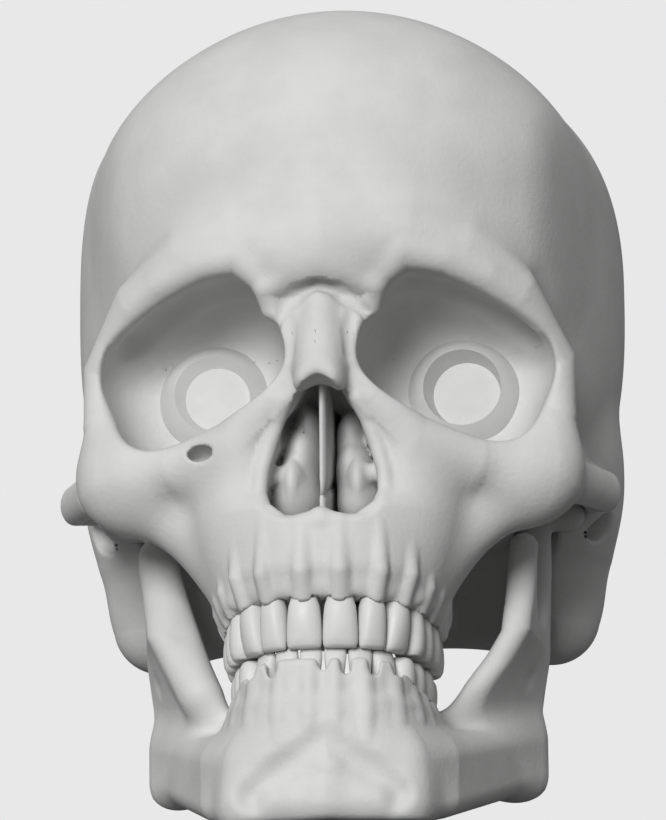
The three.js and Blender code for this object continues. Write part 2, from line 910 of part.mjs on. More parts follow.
// Space that the branches of the jaw sweep as it opens about its condyles
const sweptAngles = [0, jawOpening / 2, jawOpening].map((angle) => angle * degrees);
const jawSweep = (x, y, z) => {
  const dy = y - condyleDepth;
  const dz = z - condyleHeight;
  let value = Infinity;
  for (const angle of sweptAngles) {
    const turnedY = dy * Math.cos(angle) + dz * Math.sin(angle);
    const turnedZ = dz * Math.cos(angle) - dy * Math.sin(angle);
    value = Math.min(value, ramus(x, turnedY + condyleDepth, turnedZ + condyleHeight));
  }
  return value - swingGap;
};

const cranium = join(
  crispBlend,
  carve(crispBlend, hollowSkull, jawSweep),
  ...bosses,
  paired(shellBone),
  nasalSpine,
);


// Surface of a field: a cubic lattice whose cells are each split into six tetrahedra.
// A lattice corner is numbered by three bits, and every edge runs from fewer bits to more.
const digits = (row) => [...row].map(Number);
const tetrahedra = '0137 0175 0273 0267 0457 0476'.split(' ').map(digits);

// Rows of even order: the corners inside come first, then those outside
const evenOrders = '0123 1032 2013 3021 0231 0312 1203 1320 2301'.split(' ').map(digits);

const tetrahedronFaces = (mask) => {
  const inside = [0, 1, 2, 3].filter((corner) => mask & (1 << corner));
  if (inside.length === 0 || inside.length === 4) return [];
  if (inside.length === 2) {
    const [a, b, c, d] = evenOrders.find((row) => inside.includes(row[0]) && inside.includes(row[1]));
    return [[[a, c], [a, d], [b, d]], [[a, c], [b, d], [b, c]]];
  }
  const single = inside.length === 1 ? inside[0] : [0, 1, 2, 3].find((corner) => !inside.includes(corner));
  const [a, b, c, d] = evenOrders.find((row) => row[0] === single);
  return inside.length === 1 ? [[[a, b], [a, c], [a, d]]] : [[[a, b], [a, d], [a, c]]];
};

const facesByMask = Array.from({ length: 16 }, (_, mask) => tetrahedronFaces(mask));

const blockCellCount = 4;
const slopeAllowance = 1.35;
const edgeMarginShare = 0.04;

const surfaceOf = (field, box, step) => {
  const origin = box.min;
  const size = box.getSize(new THREE.Vector3());
  const blocks = size.toArray().map((length) => Math.ceil(length / (step * blockCellCount)));
  const [nx, ny, nz] = blocks.map((count) => count * blockCellCount + 1);
  const values = new Float32Array(nx * ny * nz).fill(NaN);
  const corners = new Map();
  const points = [];
  const faces = [];
  const reach = (Math.sqrt(3) / 2) * step * blockCellCount * slopeAllowance;
  const offset = digits('01234567')
    .map((bits) => (bits & 1) + nx * ((bits >> 1) & 1) + nx * ny * (bits >> 2));

  const valueAt = (index) => {
    if (Number.isNaN(values[index])) {
      const i = index % nx;
      const j = Math.floor(index / nx) % ny;
      const k = Math.floor(index / (nx * ny));
      values[index] = field(origin.x + i * step, origin.y + j * step, origin.z + k * step);
    }
    return values[index];
  };

  const crossing = (base, from, to) => {
    const [low, high] = from < to ? [from, to] : [to, from];
    const start = base + offset[low];
    const key = start * 8 + (high ^ low);
    let corner = corners.get(key);
    if (corner === undefined) {
      const a = values[start];
      const b = values[base + offset[high]];
      const t = Math.min(Math.max(a / (a - b), edgeMarginShare), 1 - edgeMarginShare);
      const bits = high ^ low;
      const i = start % nx;
      const j = Math.floor(start / nx) % ny;
      const k = Math.floor(start / (nx * ny));
      corner = points.length / 3;
      points.push(
        origin.x + (i + t * (bits & 1)) * step,
        origin.y + (j + t * ((bits >> 1) & 1)) * step,
        origin.z + (k + t * (bits >> 2)) * step,
      );
      corners.set(key, corner);
    }
    return corner;
  };

  const marchCell = (base) => {
    for (const tetrahedron of tetrahedra) {
      let mask = 0;
      for (let n = 0; n < 4; n++) {
        if (values[base + offset[tetrahedron[n]]] < 0) mask |= 1 << n;
      }
      for (const face of facesByMask[mask]) {
        for (const [from, to] of face) faces.push(crossing(base, tetrahedron[from], tetrahedron[to]));
      }
    }
  };

  for (let bk = 0; bk < blocks[2]; bk++) {
    for (let bj = 0; bj < blocks[1]; bj++) {
      for (let bi = 0; bi < blocks[0]; bi++) {
        const middle = (count) => (count + 0.5) * blockCellCount * step;
        const value = field(origin.x + middle(bi), origin.y + middle(bj), origin.z + middle(bk));
        if (Math.abs(value) > reach) continue;
        const first = bi * blockCellCount + nx * (bj * blockCellCount + ny * bk * blockCellCount);
        for (let k = 0; k <= blockCellCount; k++) {
          for (let j = 0; j <= blockCellCount; j++) {
            for (let i = 0; i <= blockCellCount; i++) valueAt(first + i + nx * (j + ny * k));
          }
        }
        for (let k = 0; k < blockCellCount; k++) {
          for (let j = 0; j < blockCellCount; j++) {
            for (let i = 0; i < blockCellCount; i++) marchCell(first + i + nx * (j + ny * k));
          }
        }
      }
    }
  }
  return { points: Float64Array.from(points), faces: Int32Array.from(faces) };
};

// Simplification: edges are collapsed in order of how far the surface moves. That is the mean square
// distance, or where it is strict the sum over all planes, which keeps each plane within the tolerance.
const termCount = 10;
const springShare = 0.002;
const lengthShare = 0.05;
const turnShare = 0.35;
const leastAreaShare = 0.2;

const addPlane = (quadrics, vertex, nx, ny, nz, d, weight) => {
  const terms = [nx * nx, nx * ny, nx * nz, nx * d, ny * ny, ny * nz, ny * d, nz * nz, nz * d, d * d];
  for (let i = 0; i < termCount; i++) quadrics[vertex * termCount + i] += terms[i] * weight;
};

const simplify = ({ points, faces }, tolerance, strict) => {
  const vertexCount = points.length / 3;
  const quadrics = new Float64Array(vertexCount * termCount);
  const weights = new Float64Array(vertexCount);
  const versions = new Int32Array(vertexCount);
  const around = Array.from({ length: vertexCount }, () => []);
  const alive = new Uint8Array(faces.length / 3).fill(1);

  const normalOf = (a, b, c) => {
    const ux = points[b * 3] - points[a * 3];
    const uy = points[b * 3 + 1] - points[a * 3 + 1];
    const uz = points[b * 3 + 2] - points[a * 3 + 2];
    const vx = points[c * 3] - points[a * 3];
    const vy = points[c * 3 + 1] - points[a * 3 + 1];
    const vz = points[c * 3 + 2] - points[a * 3 + 2];
    return [uy * vz - uz * vy, uz * vx - ux * vz, ux * vy - uy * vx];
  };

  for (let f = 0; f < faces.length / 3; f++) {
    const [a, b, c] = [faces[f * 3], faces[f * 3 + 1], faces[f * 3 + 2]];
    const [nx, ny, nz] = normalOf(a, b, c);
    const area = Math.hypot(nx, ny, nz);
    for (const vertex of [a, b, c]) around[vertex].push(f);
    if (area === 0) continue;
    const d = -(nx * points[a * 3] + ny * points[a * 3 + 1] + nz * points[a * 3 + 2]) / area;
    for (const vertex of [a, b, c]) {
      addPlane(quadrics, vertex, nx / area, ny / area, nz / area, d, strict ? 1 : area);
      weights[vertex] += strict ? 1 : area;
    }
  }

  const heap = [];
  const costs = [];
  const push = (cost, entry) => {
    let i = heap.length;
    heap.push(entry);
    costs.push(cost);
    while (i > 0) {
      const parent = (i - 1) >> 1;
      if (costs[parent] <= cost) break;
      costs[i] = costs[parent];
      heap[i] = heap[parent];
      i = parent;
    }
    costs[i] = cost;
    heap[i] = entry;
  };
  const pop = () => {
    const top = heap[0];
    const cost = costs.pop();
    const entry = heap.pop();
    const count = heap.length;
    if (count > 0) {
      let i = 0;
      for (;;) {
        let child = i * 2 + 1;
        if (child >= count) break;
        if (child + 1 < count && costs[child + 1] < costs[child]) child += 1;
        if (costs[child] >= cost) break;
        costs[i] = costs[child];
        heap[i] = heap[child];
        i = child;
      }
      costs[i] = cost;
      heap[i] = entry;
    }
    return top;
  };

  const best = new Float64Array(4);
  const solve = (a, b) => {
    const q = (i) => quadrics[a * termCount + i] + quadrics[b * termCount + i];
    const weight = weights[a] + weights[b];
    const mx = (points[a * 3] + points[b * 3]) / 2;
    const my = (points[a * 3 + 1] + points[b * 3 + 1]) / 2;
    const mz = (points[a * 3 + 2] + points[b * 3 + 2]) / 2;
    const spring = weight * springShare;
    const [xx, xy, xz, yy, yz, zz] = [q(0) + spring, q(1), q(2), q(4) + spring, q(5), q(7) + spring];
    const [rx, ry, rz] = [spring * mx - q(3), spring * my - q(6), spring * mz - q(8)];
    const cx = yy * zz - yz * yz;
    const cy = xz * yz - xy * zz;
    const cz = xy * yz - xz * yy;
    const det = xx * cx + xy * cy + xz * cz;
    const px = (cx * rx + cy * ry + cz * rz) / det;
    const py = (cy * rx + (xx * zz - xz * xz) * ry + (xy * xz - xx * yz) * rz) / det;
    const pz = (cz * rx + (xy * xz - xx * yz) * ry + (xx * yy - xy * xy) * rz) / det;
    const error = px * (q(0) * px + 2 * q(1) * py + 2 * q(2) * pz + 2 * q(3))
      + py * (q(4) * py + 2 * q(5) * pz + 2 * q(6)) + pz * (q(7) * pz + 2 * q(8)) + q(9);
    const gap = Math.hypot(points[a * 3] - points[b * 3], points[a * 3 + 1] - points[b * 3 + 1],
      points[a * 3 + 2] - points[b * 3 + 2]);
    best[0] = px;
    best[1] = py;
    best[2] = pz;
    best[3] = Math.max(error, 0) / (strict ? 1 : weight) + springShare * lengthShare * gap * gap;
    return best[3];
  };

  const offer = (a, b) => {
    const cost = solve(a, b);
    if (cost < tolerance * tolerance) push(cost, [a, b, versions[a], versions[b]]);
  };

  const neighbours = (vertex) => {
    const found = new Set();
    for (const f of around[vertex]) {
      for (let n = 0; n < 3; n++) {
        if (faces[f * 3 + n] !== vertex) found.add(faces[f * 3 + n]);
      }
    }
    return found;
  };

  const keepsShape = (vertex, other, x, y, z) => {
    for (const f of around[vertex]) {
      const ring = [faces[f * 3], faces[f * 3 + 1], faces[f * 3 + 2]];
      if (ring.includes(other)) continue;
      const before = normalOf(...ring);
      const keep = [points[vertex * 3], points[vertex * 3 + 1], points[vertex * 3 + 2]];
      points.set([x, y, z], vertex * 3);
      const after = normalOf(...ring);
      points.set(keep, vertex * 3);
      const length = Math.hypot(...before) * Math.hypot(...after);
      const dot = before[0] * after[0] + before[1] * after[1] + before[2] * after[2];
      if (length > 0 && dot < turnShare * length) return false;
      if (Math.hypot(...after) < tolerance * tolerance * leastAreaShare) return false;
    }
    return true;
  };

  for (let f = 0; f < faces.length / 3; f++) {
    for (let n = 0; n < 3; n++) {
      const a = faces[f * 3 + n];
      const b = faces[f * 3 + ((n + 1) % 3)];
      if (a < b) offer(a, b);
    }
  }

  while (heap.length > 0) {
    const [a, b, versionA, versionB] = pop();
    if (versions[a] !== versionA || versions[b] !== versionB) continue;
    solve(a, b);
    const [x, y, z] = best;
    const nearA = neighbours(a);
    let shared = 0;
    for (const vertex of neighbours(b)) {
      if (nearA.has(vertex)) shared += 1;
    }
    if (shared !== 2 || !keepsShape(a, b, x, y, z) || !keepsShape(b, a, x, y, z)) continue;
    points.set([x, y, z], a * 3);
    for (let i = 0; i < termCount; i++) quadrics[a * termCount + i] += quadrics[b * termCount + i];
    weights[a] += weights[b];
    for (const f of around[b]) {
      const at = faces.indexOf(b, f * 3);
      if (faces[f * 3] === a || faces[f * 3 + 1] === a || faces[f * 3 + 2] === a) {
        alive[f] = 0;
      } else {
        faces[at] = a;
        around[a].push(f);
      }
    }
    for (const vertex of [...nearA, ...neighbours(b)]) around[vertex] = around[vertex].filter((f) => alive[f]);
    around[a] = around[a].filter((f) => alive[f]);
    around[b] = [];
    versions[b] += 1;
    versions[a] += 1;
    for (const vertex of neighbours(a)) offer(a, vertex);
  }

  const kept = [];
  for (let f = 0; f < alive.length; f++) {
    if (alive[f]) kept.push(faces[f * 3], faces[f * 3 + 1], faces[f * 3 + 2]);
  }
  const numbers = new Map();
  const index = kept.map((vertex) => {
    if (!numbers.has(vertex)) numbers.set(vertex, numbers.size);
    return numbers.get(vertex);
  });
  const places = new Float32Array(numbers.size * 3);
  for (const [vertex, number] of numbers) places.set(points.subarray(vertex * 3, vertex * 3 + 3), number * 3);
  const geometry = new THREE.BufferGeometry();
  geometry.setAttribute('position', new THREE.BufferAttribute(places, 3));
  geometry.setIndex(index);
  return geometry;
};

// Solids: closed meshes joined and cut by the library
const wasm = await Module();
wasm.setup();

const solidOf = (geometry) => {
  const bare = geometry.clone();
  bare.deleteAttribute('normal');
  bare.deleteAttribute('uv');
  const merged = mergeVertices(bare);
  const vertProperties = Float32Array.from(merged.getAttribute('position').array);
  const triVerts = Uint32Array.from(merged.index.array);
  return new wasm.Manifold(new wasm.Mesh({ numProp: 3, vertProperties, triVerts }));
};

const largest = (solid) => {
  const pieces = solid.decompose();
  return pieces.reduce((best, piece) => (piece.volume() > best.volume() ? piece : best));
};

const lightened = (solid) => {
  const { vertProperties, triVerts } = solid.getMesh();
  const mesh = { points: Float64Array.from(vertProperties), faces: Int32Array.from(triVerts) };
  return solidOf(simplify(mesh, seamTolerance, true));
};

const geometryOf = (solid) => {
  const { vertProperties, triVerts } = solid.getMesh();
  const geometry = new THREE.BufferGeometry();
  geometry.setAttribute('position', new THREE.BufferAttribute(Float32Array.from(vertProperties), 3));
  geometry.setIndex(new THREE.BufferAttribute(Uint32Array.from(triVerts), 1));
  geometry.computeVertexNormals();
  return geometry;
};

// Outline moved outward by a distance
const offsetOutline = (points, distance) => {
  const path = THREE.ShapeUtils.area(points) > 0 ? points : [...points].reverse();
  return path.map((point, i) => {
    const before = path[(i + path.length - 1) % path.length];
    const after = path[(i + 1) % path.length];
    const first = new THREE.Vector2(point.y - before.y, before.x - point.x).normalize();
    const second = new THREE.Vector2(after.y - point.y, point.x - after.x).normalize();
    const miter = first.clone().add(second);
    return point.clone().addScaledVector(miter, (2 * distance) / Math.max(miter.lengthSq(), 1));
  });
};

const prism = (points, depth) => {
  const shape = new THREE.Shape(points);
  return new THREE.ExtrudeGeometry(shape, { depth, bevelEnabled: false, steps: 1 });
};

// Prism of a front outline, given as breadth and height, between two depths
const frontPrism = (outline, from, to, grow) => {
  const points = offsetOutline(outline.map(([x, z]) => new THREE.Vector2(x, -z)), grow);
  return solidOf(prism(points, to - from + 2 * grow).rotateX(-Math.PI / 2).translate(0, from - grow, 0));
};

// Prism of a side outline, given as depth and height, between two breadths
const sideBasis = new THREE.Matrix4().makeBasis(
  new THREE.Vector3(0, 1, 0),
  new THREE.Vector3(0, 0, 1),
  new THREE.Vector3(1, 0, 0),
);
const sidePrism = (outline, from, to, grow) => {
  const points = offsetOutline(outline.map(([y, z]) => new THREE.Vector2(y, z)), grow);
  return solidOf(prism(points, to - from + 2 * grow).applyMatrix4(sideBasis).translate(from - grow, 0, 0));
};

const mirrored = (solid) => solid.mirror([1, 0, 0]);

// Closed fan round an axis: from a far flat cap to a ring that may run in waves
const fan = (toWorld, ring, apexLevel, capLevel) => {
  const count = ring.length;
  const positions = [];
  for (const [across, up, level] of ring) positions.push(...toWorld(across, up, level));
  for (const [across, up] of ring) positions.push(...toWorld(across, up, capLevel));
  positions.push(...toWorld(0, 0, apexLevel), ...toWorld(0, 0, capLevel));
  const index = [];
  for (let i = 0; i < count; i++) {
    const next = (i + 1) % count;
    index.push(i, next, 2 * count);
    index.push(count + next, count + i, 2 * count + 1);
    index.push(next, i, count + i, next, count + i, count + next);
  }
  const geometry = new THREE.BufferGeometry();
  geometry.setAttribute('position', new THREE.Float32BufferAttribute(positions, 3));
  geometry.setIndex(index);
  const solid = solidOf(geometry);
  if (solid.volume() > 0) return solid;
  geometry.setIndex(index.map((_, i) => index[i - (i % 3) + [0, 2, 1][i % 3]]));
  return solidOf(geometry);
};

// Serrated seam between two shares of a half turn, as small waves along it
const serration = (share, from, to, count) => {
  if (share <= from || share >= to) return 0;
  const wave = ((share - from) / (to - from)) * count;
  return (Math.abs((wave % 2) - 1) * 2 - 1) * serrationHeight;
};

const fanRing = (levelAt) => {
  const ring = [];
  for (let i = 0; i < fanStepCount; i++) {
    const share = (i / fanStepCount) * 2 - 1;
    const turn = share * Math.PI;
    ring.push([fanReach * Math.sin(turn), fanReach * Math.cos(turn), levelAt(share)]);
  }
  return ring;
};

// In front of the coronal suture
const coronalFan = (grow) => {
  const ring = fanRing((share) => {
    const side = Math.min(Math.abs(share) / pterionTurnShare, 1);
    const wave = serration(Math.abs(share), serrationStartShare, pterionTurnShare, coronalSerrationCount);
    return mix(bregmaDepth, pterionDepth, side * side) + wave + grow;
  });
  const toWorld = (across, up, level) => [across, level, fanHeight + up];
  return fan(toWorld, ring, mix(bregmaDepth, pterionDepth, 0.5) + grow, -fanReach);
};

// To the right of the sagittal suture
const sagittalFan = (grow) => {
  const wave = (share) => serration(share, sagittalFromShare, sagittalToShare, sagittalSerrationCount);
  const ring = fanRing((share) => wave(share) - grow);
  const toWorld = (across, up, level) => [level, braincaseDepth + across, fanHeight + up];
  return fan(toWorld, ring, -grow, fanReach);
};

// Behind the lambdoid suture and the joint with the sphenoid
const lambdoidCone = (grow) => {
  const apex = new THREE.Vector3(0, braincaseDepth, coneHeight);
  const axis = new THREE.Vector3(0, Math.cos(coneTilt * degrees), -Math.sin(coneTilt * degrees));
  const side = new THREE.Vector3(1, 0, 0);
  const up = new THREE.Vector3().crossVectors(side, axis);
  const half = [
    [0, lambdaDepth, lambdaHeight],
    [lambdoidBreadth, lambdoidDepth, lambdoidHeight],
    [asterionBreadth, asterionDepth, asterionHeight],
    [jugularBreadth, jugularDepth, jugularHeight],
    [clivusBreadth, clivusDepth, clivusHeight],
    [0, clivusDepth, clivusHeight],
  ].map((place) => new THREE.Vector3(...place));
  const path = [];
  for (let i = 0; i + 1 < half.length; i++) {
    const waves = i < 2 ? lambdoidSerrationCount : 1;
    for (let n = 0; n < waves; n++) {
      const point = half[i].clone().lerp(half[i + 1], n / waves);
      const along = half[i + 1].clone().sub(half[i]).normalize();
      const out = new THREE.Vector3().crossVectors(along, point.clone().sub(apex)).normalize();
      if (waves > 1 && (i > 0 || n > 0)) point.addScaledVector(out, n % 2 ? serrationHeight : -serrationHeight);
      path.push(point);
    }
  }
  path.push(half[half.length - 1]);
  const left = path.slice(1, -1).reverse().map((p) => new THREE.Vector3(-p.x, p.y, p.z));
  const ring = [...path, ...left].map((point) => {
    const arm = point.clone().sub(apex);
    const outward = arm.clone().addScaledVector(axis, -arm.dot(axis)).normalize();
    const grown = arm.addScaledVector(outward, grow).setLength(coneReach);
    return [grown.dot(side), grown.dot(up), grown.dot(axis)];
  });
  const toWorld = (across, height, level) => apex.clone()
    .addScaledVector(side, across).addScaledVector(up, height).addScaledVector(axis, level).toArray();
  return fan(toWorld, ring, 0, coneReach);
};

// Territories of the bones. Each is a function of how far its border is moved outward.
const nasalTerritory = (grow) => sidePrism([
  [-cutOverrun, nasofrontalHeight],
  [nasalRootDepth, nasofrontalHeight],
  [nasalRootDepth - nasalTaper, nasalTipHeight - nasalTipRadius],
  [-cutOverrun, nasalTipHeight - nasalTipRadius],
], seamGap / 2, nasomaxillaryBreadth, grow);

const lacrimalTerritory = (grow) => sidePrism([
  [lacrimalDepth, lacrimalLower],
  [lacrimalDepth + lacrimalLength, lacrimalLower],
  [lacrimalDepth + lacrimalLength, lacrimalUpper],
  [lacrimalDepth, lacrimalUpper],
], lacrimalInnerBreadth, lacrimalBreadth, grow);

const maxillaTerritory = (grow) => {
  const body = frontPrism([
    [seamGap / 2, -cutOverrun],
    [seamGap / 2, orbitFloorHeight],
    [zygomaticTopBreadth, orbitFloorHeight],
    [zygomaticFootBreadth, zygomaticFootHeight],
    [zygomaticFootBreadth, -cutOverrun],
  ], -cutOverrun, tuberosityDepth, grow);
  const process = frontPrism([
    [seamGap / 2, orbitFloorHeight - orbitWall],
    [seamGap / 2, frontomaxillaryHeight],
    [orbitBreadth - orbitHalfWidth + orbitWall, frontomaxillaryHeight],
    [orbitBreadth, orbitFloorHeight - orbitWall],
  ], -cutOverrun, lacrimalDepth, grow);
  const floor = frontPrism([
    [ethmoidBreadth, orbitFloorHeight - orbitWall],
    [ethmoidBreadth, orbitFloorHeight + orbitFloorRise],
    [zygomaticTopBreadth, orbitFloorHeight],
    [zygomaticTopBreadth, orbitFloorHeight - orbitWall],
  ], 0, sphenozygomaticDepth, grow);
  return body.add(process).add(floor);
};

const zygomaticTerritory = (grow) => {
  const front = sidePrism([
    [-cutOverrun, -cutOverrun],
    [sphenozygomaticDepth, -cutOverrun],
    [sphenozygomaticDepth, frontozygomaticHeight],
    [-cutOverrun, frontozygomaticHeight],
  ], zygomaticInnerBreadth, cutOverrun + braincaseBreadth, grow);
  const arch = sidePrism([
    [0, -cutOverrun],
    [archSeamDepth + archSeamSlant, archSideHeight - cutOverrun],
    [archSeamDepth - archSeamSlant, archSideHeight + archRise * 3],
    [0, frontozygomaticHeight],
  ], archInnerBreadth, cutOverrun + braincaseBreadth, grow);
  return front.add(arch);
};

const palatineTerritory = (grow) => frontPrism([
  [seamGap / 2, palateHeight - cutOverrun],
  [palatineBreadth, palateHeight - cutOverrun],
  [palatineBreadth, palateHeight + palateWall + orbitWall],
  [seamGap / 2, palateHeight + palateWall + orbitWall],
], palatineDepth, tuberosityDepth, grow);

const ethmoidTerritory = (grow) => frontPrism([
  [-ethmoidBreadth, orbitFloorHeight],
  [ethmoidBreadth, orbitFloorHeight],
  [ethmoidBreadth, nasofrontalHeight],
  [-ethmoidBreadth, nasofrontalHeight],
], lacrimalDepth, ethmoidBack, grow);

const temporalTerritory = (grow) => {
  const arc = [];
  for (let i = 0; i <= squamaStepCount; i++) {
    const turn = mix(squamaFrontTurn, squamaBackTurn, i / squamaStepCount) * degrees;
    arc.push([squamaDepth - squamaRadius * Math.cos(turn), squamaHeight + squamaRadius * Math.sin(turn)]);
  }
  const outline = [
    ...arc,
    [asterionDepth - mastoidTipRadius, mastoidTipHeight - cutOverrun],
    [infratemporalDepth, mastoidTipHeight - cutOverrun],
    [infratemporalDepth, middleFossaFloor],
  ];
  return sidePrism(outline, petrousTipBreadth, cutOverrun + braincaseBreadth, grow);
};

const conchaTerritory = (grow) => sidePrism([
  [conchaDepth - conchaHalfDepth - conchaHalfBreadth, conchaHeight - conchaRise - conchaRootRadius / 2],
  [conchaDepth + conchaHalfDepth + conchaHalfBreadth, conchaHeight - conchaRise - conchaRootRadius / 2],
  [conchaDepth + conchaHalfDepth + conchaHalfBreadth, conchaHeight + conchaRise],
  [conchaDepth - conchaHalfDepth - conchaHalfBreadth, conchaHeight + conchaRise],
], septumHalfThickness + seamGap, conchaSeamBreadth, grow);

// Condyles of the jaw, or grown all round the sockets that they turn in
const condyles = (grow) => {
  const radius = condyleRadius + grow;
  const length = condyleHalfBreadth * 2;
  const capsule = new THREE.CapsuleGeometry(radius, length, condyleSideCount / 4, condyleSideCount);
  capsule.rotateZ(Math.PI / 2).translate(condyleBreadth, condyleDepth, condyleHeight);
  const left = solidOf(capsule);
  return left.add(mirrored(left));
};

// Boss at the back of each orbit: the ball that belongs to the sphenoid, and its round recess
const bossBalls = (grow) => {
  const ball = new THREE.SphereGeometry(bossRadius + crispBlend + grow, bossSideCount, bossSideCount / 2);
  return bossPlaces.map((place) => solidOf(ball.clone().translate(...place))).reduce((a, b) => a.add(b));
};

const bossRecesses = (() => {
  const front = bossDepth - bossRadius - crispBlend;
  const profile = [
    new THREE.Vector2(0, front),
    new THREE.Vector2(bossRecessRadius, front),
    new THREE.Vector2(bossRecessFloorRadius, bossRecessFloorDepth),
    new THREE.Vector2(0, bossRecessFloorDepth),
  ];
  const recess = new THREE.LatheGeometry(profile, bossSideCount);
  return bossPlaces
    .map(([x, , z]) => solidOf(recess.clone().translate(x, 0, z)))
    .reduce((a, b) => a.add(b));
})();

const withoutBosses = (territory) => (grow) => territory(grow).subtract(bossBalls(seamGap - grow));

const upperTerritory = (grow) => sidePrism([
  [-cutOverrun, frontozygomaticHeight],
  [braincaseDepth * 2, frontozygomaticHeight],
  [braincaseDepth * 2, braincaseHeight * 2],
  [-cutOverrun, braincaseHeight * 2],
], -skullReach, skullReach, grow);

const frontalTerritory = (grow) => coronalFan(grow).intersect(upperTerritory(grow));

const parietalSide = (grow) => upperTerritory(grow).add(sidePrism([
  [squamaDepth, parietalLowerHeight],
  [braincaseDepth * 2, parietalLowerHeight],
  [braincaseDepth * 2, braincaseHeight],
  [squamaDepth, braincaseHeight],
], -skullReach, skullReach, grow));

const leftParietalTerritory = (grow) => parietalSide(grow).intersect(sagittalFan(grow));

// Plates of the nasal septum, as depth and height
const vomerPlate = (grow) => {
  const floor = noseHeight - noseDrop - septumSeat;
  return sidePrism([
    [septumFrontDepth, floor],
    [septumBackDepth - septumSeat, floor],
    [septumBackDepth + septumSeat, septumSeamBackHeight],
    [septumFrontDepth, septumSeamFrontHeight],
  ], -septumHalfThickness, septumHalfThickness, grow);
};

const perpendicularPlate = (grow) => sidePrism([
  [septumFrontDepth, septumSeamFrontHeight + seamGap],
  [septumBackDepth, septumSeamBackHeight + seamGap],
  [septumTopBackDepth, septumTopHeight],
  [septumFrontDepth, septumTopHeight],
], -septumHalfThickness, septumHalfThickness, grow);

// Teeth, from the middle of each row to the back, with widths, depth and root as shares
const toothShares = [
  { name: 'central_incisor', upper: 1, lower: 0.66, depth: 0.73, root: 1, molar: false },
  { name: 'lateral_incisor', upper: 0.8, lower: 0.71, depth: 0.69, root: 1, molar: false },
  { name: 'canine', upper: 0.85, lower: 0.78, depth: 0.8, root: 1.17, molar: false },
  { name: 'first_premolar', upper: 0.78, lower: 0.8, depth: 0.89, root: 0.92, molar: true },
  { name: 'second_premolar', upper: 0.76, lower: 0.8, depth: 0.89, root: 0.92, molar: true },
  { name: 'first_molar', upper: 1.12, lower: 1.2, depth: 1, root: 0.83, molar: true },
  { name: 'second_molar', upper: 1.07, lower: 1.15, depth: 0.96, root: 0.83, molar: true },
];

// Rings of a tooth from root tip to edge: place on root or crown, then width and depth
const rootShares = [[-1, 0.3, 0.34], [0, 0.74, 0.82]];
const incisorShares = [[0.35, 0.9, 0.86], [0.8, 1, 0.6], [1, 0.92, 0.34]];
const molarShares = [[0.4, 1, 1], [0.8, 0.94, 0.94], [1, 0.7, 0.68]];
const basinShare = 0.82;

// A tooth stands on the origin at its neck, crown up; one grown all round makes its socket
const toothGeometry = (kind, width, crown, grow) => {
  const root = kind.root * toothRoot;
  const depth = kind.depth * toothDepth;
  const rings = [...rootShares, ...(kind.molar ? molarShares : incisorShares)]
    .map(([level, across, along]) => [level < 0 ? level * root : level * crown, across * width, along * depth]);
  rings[0][0] -= grow;
  rings[rings.length - 1][0] += grow;
  const sharpen = 1 / Math.cos(Math.PI / toothSideCount);
  const positions = [];
  for (const [level, across, along] of rings) {
    for (let i = 0; i < toothSideCount; i++) {
      const turn = ((i + 0.5) / toothSideCount) * 2 * Math.PI;
      const radius = [across / 2 + grow, along / 2 + grow];
      positions.push(radius[0] * sharpen * Math.cos(turn), radius[1] * sharpen * Math.sin(turn), level);
    }
  }
  const bottom = rings[0][0];
  const top = rings[rings.length - 1][0];
  positions.push(0, 0, bottom, 0, 0, kind.molar && grow === 0 ? top * basinShare : top);
  const count = rings.length * toothSideCount;
  const index = [];
  for (let i = 0; i < toothSideCount; i++) {
    const next = (i + 1) % toothSideCount;
    index.push(next, i, count);
    index.push(count - toothSideCount + i, count - toothSideCount + next, count + 1);
    for (let ring = 0; ring + 1 < rings.length; ring++) {
      const [a, b] = [ring * toothSideCount + i, ring * toothSideCount + next];
      index.push(a, b, b + toothSideCount, a, b + toothSideCount, a + toothSideCount);
    }
  }
  const geometry = new THREE.BufferGeometry();
  geometry.setAttribute('position', new THREE.Float32BufferAttribute(positions, 3));
  geometry.setIndex(index);
  return geometry;
};

// Walks along a dental arch from the middle and gives place and heading at a length
const archWalk = (front, breadth, length) => {
  const samples = [];
  let travelled = 0;
  for (let i = 0; i <= archSampleCount; i++) {
    const place = archPlace((i / archSampleCount) * (Math.PI / 2), front, breadth, length, alveolarSquareness);
    if (i > 0) travelled += Math.hypot(place[0] - samples[i - 1][1], place[1] - samples[i - 1][2]);
    samples.push([travelled, ...place]);
  }
  return (distance) => {
    const found = samples.findIndex(([reached]) => reached > distance);
    const i = found < 1 ? archSampleCount : found;
    const [a, b] = [samples[i - 1], samples[i]];
    const t = (distance - a[0]) / (b[0] - a[0]);
    return { x: mix(a[1], b[1], t), y: mix(a[2], b[2], t), heading: Math.atan2(b[2] - a[2], b[1] - a[1]) };
  };
};

const rowOfTeeth = (row) => {
  const walk = archWalk(row.front, row.breadth, row.length);
  const teeth = [];
  let reached = 0;
  for (const kind of toothShares) {
    const width = kind[row.name] * toothWidth;
    const place = walk(reached + (width + toothGap) / 2);
    reached += width + toothGap;
    const t = Math.min((place.y - row.front) / row.length, 1);
    const neck = mix(row.edge[0], row.edge[1], t);
    const crown = Math.abs(neck - row.bite);
    for (const side of [1, -1]) {
      const turn = new THREE.Euler(row.name === 'upper' ? Math.PI : 0, 0, side * place.heading, 'ZYX');
      const matrix = new THREE.Matrix4().makeRotationFromEuler(turn).setPosition(side * place.x, place.y, neck);
      const name = `${row.name}_${side > 0 ? 'left' : 'right'}_${kind.name}`;
      const shape = (grow) => solidOf(toothGeometry(kind, width, crown, grow).applyMatrix4(matrix));
      teeth.push({ name, side, shape });
    }
  }
  return teeth;
};

